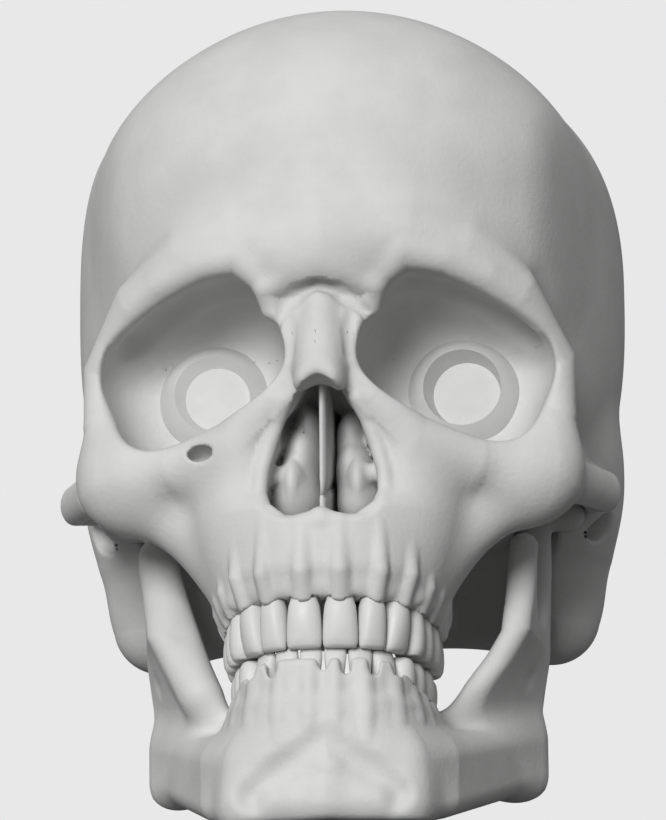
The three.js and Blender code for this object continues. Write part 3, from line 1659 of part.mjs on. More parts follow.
const upperTeeth = rowOfTeeth({
  name: 'upper',
  front: alveolarFrontDepth,
  breadth: alveolarBreadth,
  length: alveolarLength,
  edge: [alveolarFrontLower, alveolarBackLower],
  bite: biteHeight,
});

const lowerTeeth = rowOfTeeth({
  name: 'lower',
  front: lowerArchFrontDepth,
  breadth: lowerArchBreadth,
  length: lowerArchLength,
  edge: [lowerArchFrontUpper, lowerArchBackUpper],
  bite: biteHeight - biteGap,
});

// Bones of the skull, taken out of one surface one after the other, each with a seam round it
const foremost = Math.min(braincaseDepth - braincaseFront, 0);
const reachBox = (lower, upper) => new THREE.Box3(
  new THREE.Vector3(-skullReach, foremost - latticeMargin, lower - latticeMargin),
  new THREE.Vector3(skullReach, braincaseDepth + braincaseBack + latticeMargin, upper + latticeMargin),
);
const skullBox = reachBox(mastoidTipHeight - mastoidTipRadius * 2, braincaseHeight + braincaseRise);
const jawBox = reachBox(bodyFrontLower, condyleHeight + condyleRadius);
jawBox.max.y = latticeMargin + Math.max(
  condyleDepth + condyleNeckRadius,
  ramusBackDepth + ramusBackRadius,
  gonionDepth + gonionRadius,
);

let rest = solidOf(simplify(surfaceOf(cranium, skullBox, latticeStep), facetTolerance, false));
const bones = {};

const take = (name, territory) => {
  bones[name] = largest(rest.intersect(territory(0)));
  rest = rest.subtract(territory(seamGap));
};

const takePair = (name, territory, limit = (shape) => shape) => {
  take(`left_${name}`, limit(territory));
  take(`right_${name}`, limit((grow) => mirrored(territory(grow))));
};

takePair('nasal_bone', nasalTerritory);
takePair('inferior_nasal_concha', conchaTerritory);
takePair('palatine_bone', palatineTerritory);
takePair('lacrimal_bone', lacrimalTerritory);
takePair('maxilla', maxillaTerritory, withoutBosses);
takePair('zygomatic_bone', zygomaticTerritory, withoutBosses);
take('ethmoid_bone', ethmoidTerritory);
take('occipital_bone', lambdoidCone);
takePair('temporal_bone', temporalTerritory);
take('frontal_bone', withoutBosses(frontalTerritory));
take('left_parietal_bone', leftParietalTerritory);
take('right_parietal_bone', parietalSide);
bones.sphenoid_bone = largest(rest.subtract(bossRecesses));

for (const name of Object.keys(bones)) {
  bones[name] = bones[name].subtract(vomerPlate(seamGap));
  if (name !== 'ethmoid_bone') bones[name] = bones[name].subtract(perpendicularPlate(seamGap));
}
bones.ethmoid_bone = bones.ethmoid_bone.add(perpendicularPlate(0));
bones.vomer = vomerPlate(0);

for (const { side, shape } of upperTeeth) {
  const name = side > 0 ? 'left_maxilla' : 'right_maxilla';
  bones[name] = bones[name].subtract(shape(socketGap));
}

// The lower jaw stands on the flat underside of its chin
const underside = solidOf(new THREE.BoxGeometry(skullReach * 2, skullReach * 4, cutOverrun)
  .translate(0, 0, -cutOverrun / 2));
let jaw = solidOf(simplify(surfaceOf(mandible, jawBox, latticeStep), facetTolerance, false));
for (const { shape } of lowerTeeth) jaw = jaw.subtract(shape(socketGap));
jaw = largest(lightened(largest(jaw)).add(condyles(0)).subtract(underside));

// Materials
const boneColour = 0xc9c9c7;
const toothColour = 0xd6d6d2;
const boneRoughness = 0.55;
const toothRoughness = 0.4;

const meshOf = (name, solid, color, roughness) => {
  const material = new THREE.MeshStandardMaterial({ color, roughness, metalness: 0 });
  const mesh = new THREE.Mesh(geometryOf(solid), material);
  mesh.name = name;
  return mesh;
};

const headGroup = new THREE.Group();
for (const [name, solid] of Object.entries(bones)) {
  const bone = largest(lightened(largest(solid)).subtract(condyles(condyleGap)));
  headGroup.add(meshOf(name, bone, boneColour, boneRoughness));
}
for (const { name, shape } of upperTeeth) headGroup.add(meshOf(name, shape(0), toothColour, toothRoughness));

const jawGroup = new THREE.Group();
jawGroup.add(meshOf('mandible', jaw, boneColour, boneRoughness));
for (const { name, shape } of lowerTeeth) jawGroup.add(meshOf(name, shape(0), toothColour, toothRoughness));

// The origin lies under the middle of the whole skull
const skull = new THREE.Group();
skull.add(headGroup, jawGroup);
const extent = new THREE.Box3().setFromObject(skull);
skull.position.y = -(extent.min.y + extent.max.y) / 2;

export default skull;
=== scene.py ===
"""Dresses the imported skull: smooth bones and teeth, matt grey, pale floor, soft light and the camera."""

import json
import math
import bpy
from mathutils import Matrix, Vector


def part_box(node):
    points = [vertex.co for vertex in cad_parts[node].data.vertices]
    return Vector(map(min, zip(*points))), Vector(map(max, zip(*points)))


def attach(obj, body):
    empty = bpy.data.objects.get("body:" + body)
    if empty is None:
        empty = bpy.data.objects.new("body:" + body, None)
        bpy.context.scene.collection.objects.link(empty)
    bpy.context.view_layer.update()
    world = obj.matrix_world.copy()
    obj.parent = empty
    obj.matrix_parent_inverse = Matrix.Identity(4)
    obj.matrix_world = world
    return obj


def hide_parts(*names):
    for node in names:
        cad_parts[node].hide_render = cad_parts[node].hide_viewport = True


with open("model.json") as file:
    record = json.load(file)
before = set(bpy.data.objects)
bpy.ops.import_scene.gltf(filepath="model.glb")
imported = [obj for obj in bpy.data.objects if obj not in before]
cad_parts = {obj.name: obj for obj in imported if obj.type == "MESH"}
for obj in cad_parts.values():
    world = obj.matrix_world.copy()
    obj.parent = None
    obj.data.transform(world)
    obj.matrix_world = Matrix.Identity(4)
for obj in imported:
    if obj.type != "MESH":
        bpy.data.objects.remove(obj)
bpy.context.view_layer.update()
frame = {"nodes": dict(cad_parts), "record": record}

from concurrent.futures import ThreadPoolExecutor

import bpy
import numpy as np
from mathutils import Matrix, Vector
from mathutils.bvhtree import BVHTree

# Lengths are in millimetres: x to the skull's left, y back from the tip of the nasal bones, z up.
# A place is x, y and z, and a station is a place and a radius. Paired parts are given for the left side.

# Fit and surface
socket_gap = 0.3
socket_overlap = 0.25
face_front = 1.1
soft_blend = 3
crisp_blend = 1.2
far = 50

# Braincase
braincase_breadth = 71
braincase_front = 92
braincase_back = 69
braincase_rise = 58.5
braincase_drop = 79
braincase_depth = 110
braincase_height = 155
braincase_squareness = 2.65
braincase_lengthwise_squareness = 2.15
vault_blend = 8
vault_wall = 6
temple_front = (57, 45)
temple_back = (69, 90)
temple_edge = 4
front_fossa_floor = 141
middle_fossa_floor = 104
saddle_floor = 113
saddle_breadth = 11
rear_fossa_floor = 82
lesser_wing_depth = 58
petrous_ridge_depth = 97
fossa_step = 12
fossa_blend = 10

# Face
face_blend = 7
brow_blend = 14
cheek_place = (49, 36, 90)
cheek_radii = (11.5, 9, 10.5)
cheek = (*cheek_place, cheek_radii[2])
arch_flat_share = 0.7
alveolar_front_depth = 11.2
alveolar_edge = 3
alveolar_breadth = 22.4
alveolar_length = 44
alveolar_squareness = 3
alveolar_wall = 5.2
alveolar_lower = (53.5, 50.5)
alveolar_upper = (78, 78)
palate_height = 69
palate_wall = 5

# Orbit
orbit_place = (32.6, 18, 114.8)
orbit_half_width = 23.5
orbit_half_height = 17.1
orbit_reach = 30
orbit_slope = -23.5
orbit_inward_turn = 4
orbit_squareness = 3.3
orbit_wall = 3.5
orbit_shell_depth = 26
orbit_shell_slope_share = 0.5

# Nose
nose_breadth = 14.2
nose_height = 80
nose_rise = 26.5
nose_drop = 8
nose_upper_squareness = 1.6
nose_lower_squareness = 3.4
nose_back = 52
choana_breadth = 12.5
choana_rise = 10
choana_height = 83.5
choana_back = 80
concha_place = (8, 34, 85)
concha_radii = (4.2, 15, 9.5)
concha_root = ((8, 34, 87), (15, 34, 87))
concha_root_radius = 2.2

# Temple, ear, mastoid and base
temple_blend = 12
mastoid_tip = (51.5, 115, 69.5, 9)
foramen_breadth = 15
foramen_length = 17.5
foramen_depth = 122
foramen_rise = 40

# Lower jaw
chin_depth = 17.5
body_length = 70
body_wall = 5.4
body_lower = (-0.6, 20)
body_upper = (20, 38)
lower_arch_front_depth = 13.2
lower_arch_breadth = 20.6
lower_arch_length = 43
lower_arch_wall = 5.4
lower_arch_base = (14, 14)
lower_arch_upper = (31, 33)
gonion = (45, 82, 31, 10.5)
ramus_back = (47.2, 86.5, 55, 6.5)
ramus_front = (44.5, 64, 55, 6.5)
ramus_foot = (37.5, 62, 40, 8)
ramus_half_thickness = 3.3
ramus_slope_share = 0.92
condyle_breadth = 48
condyle_depth = 91
condyle_height = 92
condyle_half_breadth = 8
condyle_radius = 4.2
condyle_neck = (condyle_breadth, condyle_depth, condyle_height - condyle_radius, 4.6)
coronoid = (46, 62.5, 77.5)
coronoid_radius = 3.6
slim_coronoid_radius = 2.3
coronoid_knob_radius = 3
jaw_blend = 8
jaw_opening = 20
swing_gap = 1.5

# Teeth and bite
bite_height = 41.5
bite_gap = 0.4
tooth_gap = 0.35
arch_sample_count = 240
tooth_sides = 20
tooth_squareness = 2.5

# Nasal septum
septum_half_thickness = 0.9
septum_front_depth = 12
septum_back_depth = 60
septum_seat = 1.4
septum_seam_front_height = 79
septum_seam_back_height = 96
septum_top_height = 117
septum_top_back_depth = 48

# Round boss with a recess at the back of each orbit
boss_breadth = 32.4
right_boss_breadth = 29
boss_depth = 51
boss_height = 112.5
boss_radius = 14.5
boss_recess_radius = 9.6
boss_recess_floor_radius = 7.8
boss_recess_floor_depth = 43
boss_rings = 24
boss_turns = 72


# Fields: negative inside, about a distance outside. Each takes arrays of x, y and z.
def blend_two(a, b, radius):
    share = np.maximum(radius - np.abs(a - b), 0) / radius
    return np.minimum(a, b) - share * share * radius / 4


def join(radius, *shapes):
    def field(x, y, z):
        value = shapes[0](x, y, z)
        for shape in shapes[1:]:
            value = blend_two(value, shape(x, y, z), radius)
        return value

    return field


def carve(radius, body, *tools):
    def field(x, y, z):
        value = body(x, y, z)
        for tool in tools:
            value = -blend_two(-value, tool(x, y, z), radius)
        return value

    return field


def common(radius, a, b):
    return lambda x, y, z: -blend_two(-a(x, y, z), -b(x, y, z), radius)


def paired(shape):
    return lambda x, y, z: shape(np.abs(x), y, z)


def length(*parts):
    return np.sqrt(sum(part * part for part in parts))


def ellipsoid(centre, radii):
    def field(x, y, z):
        u, v, w = ((p - c) / r for p, c, r in zip((x, y, z), centre, radii))
        size = length(u, v, w)
        slope = length(u / radii[0], v / radii[1], w / radii[2])
        return size * (size - 1) / np.maximum(slope, 1e-9)

    return field


def rod(start, end, start_radius, end_radius):
    dx, dy, dz = (b - a for a, b in zip(start, end))
    square = dx * dx + dy * dy + dz * dz

    def field(x, y, z):
        px, py, pz = x - start[0], y - start[1], z - start[2]
        t = np.clip((px * dx + py * dy + pz * dz) / square, 0, 1)
        away = length(px - t * dx, py - t * dy, pz - t * dz)
        return away - start_radius - t * (end_radius - start_radius)

    return field


def chain(stations):
    """Rods from each station to the next."""
    links = [rod(a[:3], b[:3], a[3], b[3]) for a, b in zip(stations, stations[1:])]

    def field(x, y, z):
        value = links[0](x, y, z)
        for link in links[1:]:
            value = np.minimum(value, link(x, y, z))
        return value

    return field


def flat_chain(share, stations):
    """A chain whose breadth is a share of its height."""
    round_chain = chain([(x / share, y, z, radius) for x, y, z, radius in stations])
    return lambda x, y, z: round_chain(x / share, y, z) * share


def flat_rod(start, end, half_depth, radius):
    def field(x, y, z):
        along = np.clip(x, start[0], end[0])
        depth = np.maximum(np.abs(y - start[1]) - half_depth, 0)
        return length(x - along, depth, z - start[2]) - radius

    return field


def smooth_step(low, high, value):
    t = np.clip((value - low) / (high - low), 0, 1)
    return t * t * (3 - 2 * t)


def mix(a, b, t):
    return a + (b - a) * t


def arch_distance(x, y, front, breadth, depth, power):
    u = np.abs(x) / breadth
    v = np.maximum(front + depth - y, 0) / depth
    size = np.maximum((u**power + v**power) ** (1 / power), 1e-6)
    slope = length((u / size) ** (power - 1) / breadth, (v / size) ** (power - 1) / depth)
    return (size - 1) / np.maximum(slope, 1e-6)


def arch_place(turn, front, breadth, depth, power):
    return (
        breadth * math.sin(turn) ** (2 / power),
        front + depth - depth * max(math.cos(turn), 0) ** (2 / power),
    )


def wall_along(line, front, depth, wall, edge, lower, upper):
    """A wall on both sides of a line, from lower to upper levels given at its front and back."""

    def field(x, y, z):
        t = np.clip((y - front) / depth, 0, 1)
        bottom = mix(lower[0], lower[1], t)
        top = mix(upper[0], upper[1], t)
        side = np.abs(line(x, y)) - wall
        level = np.abs(z - (bottom + top) / 2) - (top - bottom) / 2
        back = y - front - depth
        parts = (np.maximum(part + edge, 0) for part in (side, level, back))
        return length(*parts) - edge

    return field


upper_bend = (alveolar_front_depth, alveolar_breadth, alveolar_length)
lower_bend = (lower_arch_front_depth, lower_arch_breadth, lower_arch_length)


def upper_line(x, y):
    return arch_distance(x, y, *upper_bend, alveolar_squareness)


def lower_line(x, y):
    return arch_distance(x, y, *lower_bend, alveolar_squareness)


# Braincase
def braincase(x, y, z):
    u = np.abs(x) / braincase_breadth
    v = np.abs(y - braincase_depth) / np.where(y < braincase_depth, braincase_front, braincase_back)
    w = np.abs(z - braincase_height) / np.where(z > braincase_height, braincase_rise, braincase_drop)
    section = (u**braincase_squareness + w**braincase_squareness) ** (1 / braincase_squareness)
    power = braincase_lengthwise_squareness
    return ((section**power + v**power) ** (1 / power) - 1) * braincase_rise


# Beyond the flat side of the head, which runs straight through two places of the temple
temple_turn = math.atan2(temple_back[0] - temple_front[0], temple_back[1] - temple_front[1])


def temple(x, y, z):
    return (temple_front[0] - x) * math.cos(temple_turn) + (y - temple_front[1]) * math.sin(temple_turn)


forehead = ellipsoid((1.5, 62.5, 161.5), (61.5, 53.5, 54.4))
occiput = ellipsoid((0, 136, 110), (50, 42, 42))
vault = carve(temple_edge, join(vault_blend, braincase, forehead, occiput), paired(temple))


def fossa_floor(x, y, z):
    side = smooth_step(saddle_breadth, saddle_breadth * 2, np.abs(x))
    middle = mix(saddle_floor, middle_fossa_floor, side)
    ahead = smooth_step(lesser_wing_depth - fossa_step, lesser_wing_depth + fossa_step, y)
    front = mix(front_fossa_floor, middle, ahead)
    behind = smooth_step(petrous_ridge_depth - fossa_step, petrous_ridge_depth + fossa_step, y)
    return (mix(front, rear_fossa_floor, behind) - z) / 2


def inner_vault(x, y, z):
    return vault(x, y, z) + vault_wall


cavity = common(fossa_blend, inner_vault, fossa_floor)

# Face: brow and outer rim of the orbit, lower rim and side of the nose, cheek, bridge and upper jaw
outer_rim = (55.5, 35.5, 117, 5)
outer_rim_foot = (55.5, 35.5, 104, 5)
brow = chain(
    [
        (0, 10.5, 141, 7.5),
        (20, 14.5, 142.5, 6),
        (33, 18.5, 139.5, 5.5),
        (46, 26, 131.5, 5.5),
        outer_rim,
        outer_rim_foot,
        cheek,
    ]
)
lower_rim = chain([cheek, (36, 26, 90, 7), (22, 20, 94, 6), (12, 16, 104, 5), (8.2, 14.5, 122, 4)])
cheek_bone = ellipsoid(cheek_place, cheek_radii)
cheek_crest = chain([(24, 36, 66, 5), (44, 36, 85, 8)])
cheek_arch = flat_chain(arch_flat_share, [cheek, (60, 47, 89.5, 5.5), (66.7, 66, 91.5, 5), (62, 93, 98, 5)])
nasal_bridge = chain([(0, 17, 127, 5.2), (0, 6.2, 106, 6.2)])
maxilla_block = ellipsoid((19, 37, 80), (16, 23, 24))
alveolar_arch = wall_along(
    upper_line,
    alveolar_front_depth,
    alveolar_length,
    alveolar_wall,
    alveolar_edge,
    alveolar_lower,
    alveolar_upper,
)


def palate(x, y, z):
    side = upper_line(x, y)
    level = np.abs(z - palate_height) - palate_wall
    back = y - alveolar_front_depth - alveolar_length
    return np.maximum(np.maximum(side, level), back)


face = join(face_blend, lower_rim, cheek_bone, maxilla_block, alveolar_arch, palate, cheek_crest)

# Temple, ear and base
mastoid = chain([(52.5, 114, 86, 12.5), mastoid_tip])
squama_bulge = ellipsoid((55, 110, 104), (13.5, 20, 17))
base_side = chain([(20, 118, 77, 12), (48, 118, 75, 12)])
eminence = chain([(40, 80, 97.5, 5), (60, 80, 97.5, 5)])
pterygoid = ellipsoid((16, 63, 76), (3.6, 6, 15))
neck_condyle = chain([(15, 108, 71, 6), (12, 96, 71, 6)])
pharynx = ellipsoid((0, 72, 76), (20, 20, 17))
ear_canal = chain([(48, 101, 91, 3.4), (108, 101, 91, 3.4)])


def foramen(x, y, z):
    side = (length(x / foramen_breadth, (y - foramen_depth) / foramen_length) - 1) * foramen_breadth
    return np.maximum(side, z - rear_fossa_floor - foramen_rise)


# Orbit: a rounded box that narrows to the back
inward_turn = Matrix.Rotation(math.radians(orbit_inward_turn), 3, "Z")
slope_turn = Matrix.Rotation(math.radians(-orbit_slope), 3, "Y")
orbit_turn = (inward_turn @ slope_turn).transposed()


def orbit(x, y, z):
    dx, dy, dz = (p - c for p, c in zip((x, y, z), orbit_place))
    across, along, up = (row[0] * dx + row[1] * dy + row[2] * dz for row in orbit_turn)
    u = np.abs(across) / orbit_half_width
    v = np.maximum(along, 0) / orbit_reach
    w = np.abs(up) / orbit_half_height
    power = orbit_squareness
    return ((u**power + v**power + w**power) ** (1 / power) - 1) * orbit_half_height


def orbit_shell(x, y, z):
    front = orbit_shell_depth + (x - orbit_place[0]) * orbit_shell_slope_share - y
    return np.maximum(orbit(x, y, z) - orbit_wall, front)


# Nose, with the small pit beside it on the right
def nose_section(x, z):
    rising = z > nose_height
    power = np.where(rising, nose_upper_squareness, nose_lower_squareness)
    u = np.abs(x) / nose_breadth
    w = np.abs(z - nose_height) / np.where(rising, nose_rise, nose_drop)
    return ((u**power + w**power) ** (1 / power) - 1) * nose_drop


def nose(x, y, z):
    front = np.maximum(nose_section(x, z), y - nose_back)
    back = (length(x / choana_breadth, (z - choana_height) / choana_rise) - 1) * choana_rise
    return np.minimum(front, np.maximum(back, y - choana_back))


pit = ellipsoid((-29.5, 19, 91.5), (3.4, 5.5, 2))
concha_root_depth = concha_radii[1] - concha_radii[0]
shell_bone = join(
    crisp_blend,
    ellipsoid(concha_place, concha_radii),
    flat_rod(*concha_root, concha_root_depth, concha_root_radius),
)

# Whole skull without its relief
browed_vault = join(brow_blend, vault, paired(brow))
shell = join(temple_blend, browed_vault, paired(mastoid), paired(squama_bulge), paired(base_side))
bony_skull = join(
    face_blend,
    join(soft_blend, shell, paired(orbit_shell), nasal_bridge),
    paired(face),
    paired(join(face_blend, eminence, neck_condyle)),
)
with_arch = join(soft_blend, bony_skull, paired(cheek_arch))
with_plates = join(soft_blend, carve(soft_blend, with_arch, pharynx), paired(pterygoid))
hollow_skull = carve(crisp_blend, with_plates, cavity, paired(orbit), nose, pit, foramen, paired(ear_canal))

# Lower jaw
body_end = chin_depth + body_length
body_chain = chain([(0, chin_depth, 0, 0), (19, 18.5, 0, 0), (26, 31, 0, 0), (43.5, body_end, 0, 0)])


def body_line(x, y):
    return body_chain(x, y, np.zeros_like(x))


jaw_body = wall_along(body_line, chin_depth, body_length, body_wall, body_wall, body_lower, body_upper)
lower_arch = wall_along(
    lower_line,
    lower_arch_front_depth,
    lower_arch_length,
    lower_arch_wall,
    alveolar_edge,
    lower_arch_base,
    lower_arch_upper,
)


def ramus_outline(tip_radius):
    """Outline of the branch seen from the side: its back edge, its front edge and the webs between."""
    joints = [gonion, ramus_back, condyle_neck, ramus_foot, ramus_front, (*coronoid, tip_radius)]
    corner, back, neck, foot, front, tip = ((0, *joint[1:]) for joint in joints)
    edges = ([corner, back, neck], [foot, front, tip], [foot, corner], [front, back])
    return join(jaw_blend, *(chain(edge) for edge in edges))


def ramus_plate(tip_radius):
    outline = ramus_outline(tip_radius)
    foot, middle, top = ramus_foot[2], ramus_front[2], coronoid[2]

    def field(x, y, z):
        low = np.clip((z - foot) / (middle - foot), -1, 1)
        high = np.clip((z - middle) / (top - middle), 0, 1)
        front = mix(ramus_foot[0], ramus_front[0], low) + high * (coronoid[0] - ramus_front[0])
        back = mix(gonion[0], ramus_back[0], np.maximum(low, 0))
        back = back + high * (condyle_breadth - ramus_back[0])
        t = np.clip((y - ramus_front[1]) / (ramus_back[1] - ramus_front[1]), -1, 1)
        side = np.abs(x - mix(front, back, t)) * ramus_slope_share - ramus_half_thickness
        edge = outline(np.zeros_like(x), y, z)
        r = ramus_half_thickness * ramus_slope_share
        return length(np.maximum(side + r, 0), np.maximum(edge + r, 0)) - r

    return field


def condyle(radius):
    ends = (condyle_breadth - condyle_half_breadth, condyle_breadth + condyle_half_breadth)
    return chain([(x, condyle_depth, condyle_height, radius) for x in ends])


coronoid_knob = ellipsoid(coronoid, (coronoid_knob_radius,) * 3)
tubercle = chain([(0, 17, 25, 4.5), (0, chin_depth, 8, 8), (17, 18, 6, 6)])
inner_ridge = chain([(44, 62.5, 74, 2.2), (37, 60, 55, 2.8), (33.5, 54, 40, 4)])
broad_ramus = join(jaw_blend, ramus_plate(coronoid_radius), inner_ridge)
slim_ramus = join(crisp_blend, ramus_plate(slim_coronoid_radius), coronoid_knob)


def ramus(x, y, z):
    value = np.empty_like(x)
    right = x < 0
    value[right] = broad_ramus(-x[right], y[right], z[right])
    left = ~right
    value[left] = slim_ramus(x[left], y[left], z[left])
    return value


jaw_bone = join(jaw_blend, paired(jaw_body), lower_arch, paired(tubercle), ramus)
mandible = join(crisp_blend, jaw_bone, paired(condyle(condyle_radius)))

# Space that the branches of the jaw sweep as it opens about its condyles
swept_angles = [math.radians(angle) for angle in (0, jaw_opening / 2, jaw_opening)]
sweep_top = condyle_height + swing_gap * 8


def jaw_sweep(x, y, z):
    value = np.full_like(x, far)
    near = (z < sweep_top) & (y < condyle_depth + far)
    x, y, z = x[near], y[near] - condyle_depth, z[near] - condyle_height
    swept = np.full_like(x, far)
    for angle in swept_angles:
        turned_y = y * math.cos(angle) + z * math.sin(angle)
        turned_z = z * math.cos(angle) - y * math.sin(angle)
        swept = np.minimum(swept, ramus(x, turned_y + condyle_depth, turned_z + condyle_height))
    value[near] = swept - swing_gap
    return value


# Teeth: name, upper width, lower width, depth, root length, molar or not
tooth_kinds = (
    ("central_incisor", 8.2, 5.4, 6.6, 12, False),
    ("lateral_incisor", 6.6, 5.8, 6.2, 12, False),
    ("canine", 7, 6.4, 7.2, 14, False),
    ("first_premolar", 6.4, 6.6, 8, 11, True),
    ("second_premolar", 6.2, 6.6, 8, 11, True),
    ("first_molar", 9.2, 9.8, 9, 10, True),
    ("second_molar", 8.8, 9.4, 8.6, 10, True),
)

# Rings from root tip to biting edge: level, width and depth as shares
root_rings = ((-1, 0.3, 0.34), (-0.6, 0.5, 0.56), (-0.25, 0.68, 0.74), (0, 0.78, 0.84))
front_rings = {
    "upper": (
        (0.16, 0.92, 1),
        (0.35, 0.98, 1),
        (0.6, 1.02, 0.88),
        (0.82, 1.03, 0.7),
        (0.94, 1, 0.54),
        (1, 0.92, 0.36),
    ),
    "lower": (
        (0.16, 0.7, 0.9),
        (0.35, 0.74, 0.86),
        (0.6, 0.88, 0.74),
        (0.86, 1, 0.5),
        (1, 0.98, 0.34),
        (1.1, 0.88, 0.2),
    ),
}
molar_rings = (
    (0.16, 0.9, 0.92),
    (0.38, 0.99, 0.99),
    (0.62, 1, 1),
    (0.84, 0.94, 0.94),
    (0.96, 0.82, 0.8),
    (1, 0.66, 0.64),
    (0.93, 0.4, 0.38),
    (0.88, 0.12, 0.12),
)
neck_ring = 4
widest_ring = 7


def arch_walk(front, breadth, depth):
    places = [
        arch_place(i / arch_sample_count * math.pi / 2, front, breadth, depth, alveolar_squareness)
        for i in range(arch_sample_count + 1)
    ]
    places = np.array(places)
    steps = np.hypot(*np.diff(places, axis=0).T)
    reached = np.concatenate(([0], np.cumsum(steps)))

    def walk(distance):
        i = min(max(int(np.searchsorted(reached, distance, side="right")), 1), arch_sample_count)
        ahead = places[i] - places[i - 1]
        t = (distance - reached[i - 1]) / (reached[i] - reached[i - 1])
        place = places[i - 1] + ahead * t
        return place[0], place[1], math.atan2(ahead[1], ahead[0])

    return walk


def row_of_teeth(row, front, breadth, depth, edge, bite):
    walk = arch_walk(front, breadth, depth)
    teeth = []
    reached = 0
    for name, upper_width, lower_width, tooth_depth, root, molar in tooth_kinds:
        width = upper_width if row == "upper" else lower_width
        x, y, heading = walk(reached + (width + tooth_gap) / 2)
        reached += width + tooth_gap
        neck = mix(edge[0], edge[1], min((y - front) / depth, 1))
        crown = abs(neck - bite)
        shares = molar_rings if molar else front_rings[row]
        rings = [(level * root, across, along) for level, across, along in root_rings]
        rings += [(level * crown, across, along) for level, across, along in shares]
        rings = [(level, across * width / 2, along * tooth_depth / 2) for level, across, along in rings]
        for side in (1, -1):
            turn = Matrix.Rotation(side * heading, 4, "Z")
            if row == "upper":
                turn = turn @ Matrix.Rotation(math.pi, 4, "X")
            place = Matrix.Translation((side * x, y, neck)) @ turn
            teeth.append((f"{row}_{'left' if side > 0 else 'right'}_{name}", place, rings))
    return teeth


upper_teeth = row_of_teeth("upper", *upper_bend, alveolar_lower, bite_height)
lower_teeth = row_of_teeth("lower", *lower_bend, lower_arch_upper, bite_height - bite_gap)


def sockets(teeth):
    """Space of the roots, a hair tighter than they are so that no gap shows at their necks."""
    tools = []
    for _, place, rings in teeth:
        back = np.array(place.inverted())
        rooted = [ring for ring in rings if ring[0] <= rings[neck_ring][0]]
        tools.append((back, *np.array(rooted).T, np.array(place.translation)))

    def field(x, y, z):
        value = np.full_like(x, far)
        for back, levels, across, along, place in tools:
            reach = levels[-1] - levels[0]
            offsets = [np.abs(p - c) for p, c in zip((x, y, z), place)]
            near = np.maximum.reduce(offsets) < reach
            if not near.any():
                continue
            u, v, w = (row[0] * x[near] + row[1] * y[near] + row[2] * z[near] + row[3] for row in back[:3])
            a = np.interp(w, levels, across) - socket_overlap
            b = np.interp(w, levels, along) - socket_overlap
            side = (length(u / a, v / b) - 1) * np.minimum(a, b)
            value[near] = np.minimum(value[near], np.maximum(side, levels[0] - w))
        return value

    return field


# Relief that the solids leave out: bulges of the roots, rims, grooves and the bump of the chin
bulge_shares = (1, 1, 0.7)
bulge_top = 84
bulge_back = 48


def bulges(teeth, outward, stands, spread, rise, reach):
    """A tapered ridge over each root, from its neck to its tip or beyond."""
    ridges = []
    for name, place, rings in teeth:
        radius = rings[neck_ring][1] * spread
        tip = rings[0][0]
        top = rise if "incisor" in name or "canine" in name else 0
        stations = []
        for stand, level, share in zip(stands, (top, tip / 2, tip * reach), bulge_shares):
            middle = place @ Vector((0, outward * (stand - radius * share), level))
            stations.append((*middle, radius * share))
        ridges.append(chain(stations))

    def field(x, y, z):
        value = np.full_like(x, far)
        near = np.flatnonzero((z < bulge_top) & (y < bulge_back))
        part = (x[near], y[near], z[near])
        found = np.full(len(near), float(far))
        for ridge in ridges:
            found = blend_two(found, ridge(*part), crisp_blend)
        value[near] = found
        return value

    return field


root_bulges = bulges(upper_teeth, 1, stands=(4.5, 7, 5.2), spread=0.68, rise=-0.5, reach=1.5)
lower_bulges = bulges(lower_teeth, -1, stands=(4.9, 6.3, 5.6), spread=1.12, rise=5.4, reach=1)

lower_plate_wall = 4.3
lower_plate_edge = 2
lower_plate_lower = (18, 18)
lower_plate_upper = (39, 31)
lower_plate = wall_along(
    lower_line,
    lower_arch_front_depth,
    lower_arch_length / 2,
    lower_plate_wall,
    lower_plate_edge,
    lower_plate_lower,
    lower_plate_upper,
)

gum_wall = 3.8
gum_full_wall = 16
gum_rise = 14
gum_fade_wall = 14
gum_fade_start = 16
gum_fade_end = 30


def gum_slope(x, y, z):
    """Thins the outer wall of the upper jaw towards the necks of its front teeth."""
    above = z - alveolar_lower[0]
    rise = np.clip(above / gum_rise, 0, 1)
    fade = gum_fade_wall * smooth_step(gum_fade_start, gum_fade_end, y)
    wall = mix(gum_wall, gum_full_wall, rise * rise) + fade
    return np.maximum(wall - upper_line(x, y), np.maximum(above - gum_rise, y - gum_fade_end))


# Gaps between the necks of the lower front teeth: tooth, side of it and level above its neck
gap_inward = -2
gap_radii = (1.25, 7, 2.6)
gap_places = (
    ("lower_left_central_incisor", -1, 7.2),
    ("lower_left_central_incisor", 1, 6.2),
    ("lower_left_lateral_incisor", 1, 6.2),
    ("lower_right_lateral_incisor", -1, 6.2),
    ("lower_left_canine", 1, 6.2),
    ("lower_right_canine", -1, 6.2),
)


def neck_gaps():
    teeth = {name: (place, rings) for name, place, rings in lower_teeth}
    gaps = []
    for name, side, level in gap_places:
        place, rings = teeth[name]
        middle = place @ Vector((side * rings[widest_ring][1], gap_inward, level))
        gaps.append(ellipsoid(middle, gap_radii))
    return gaps


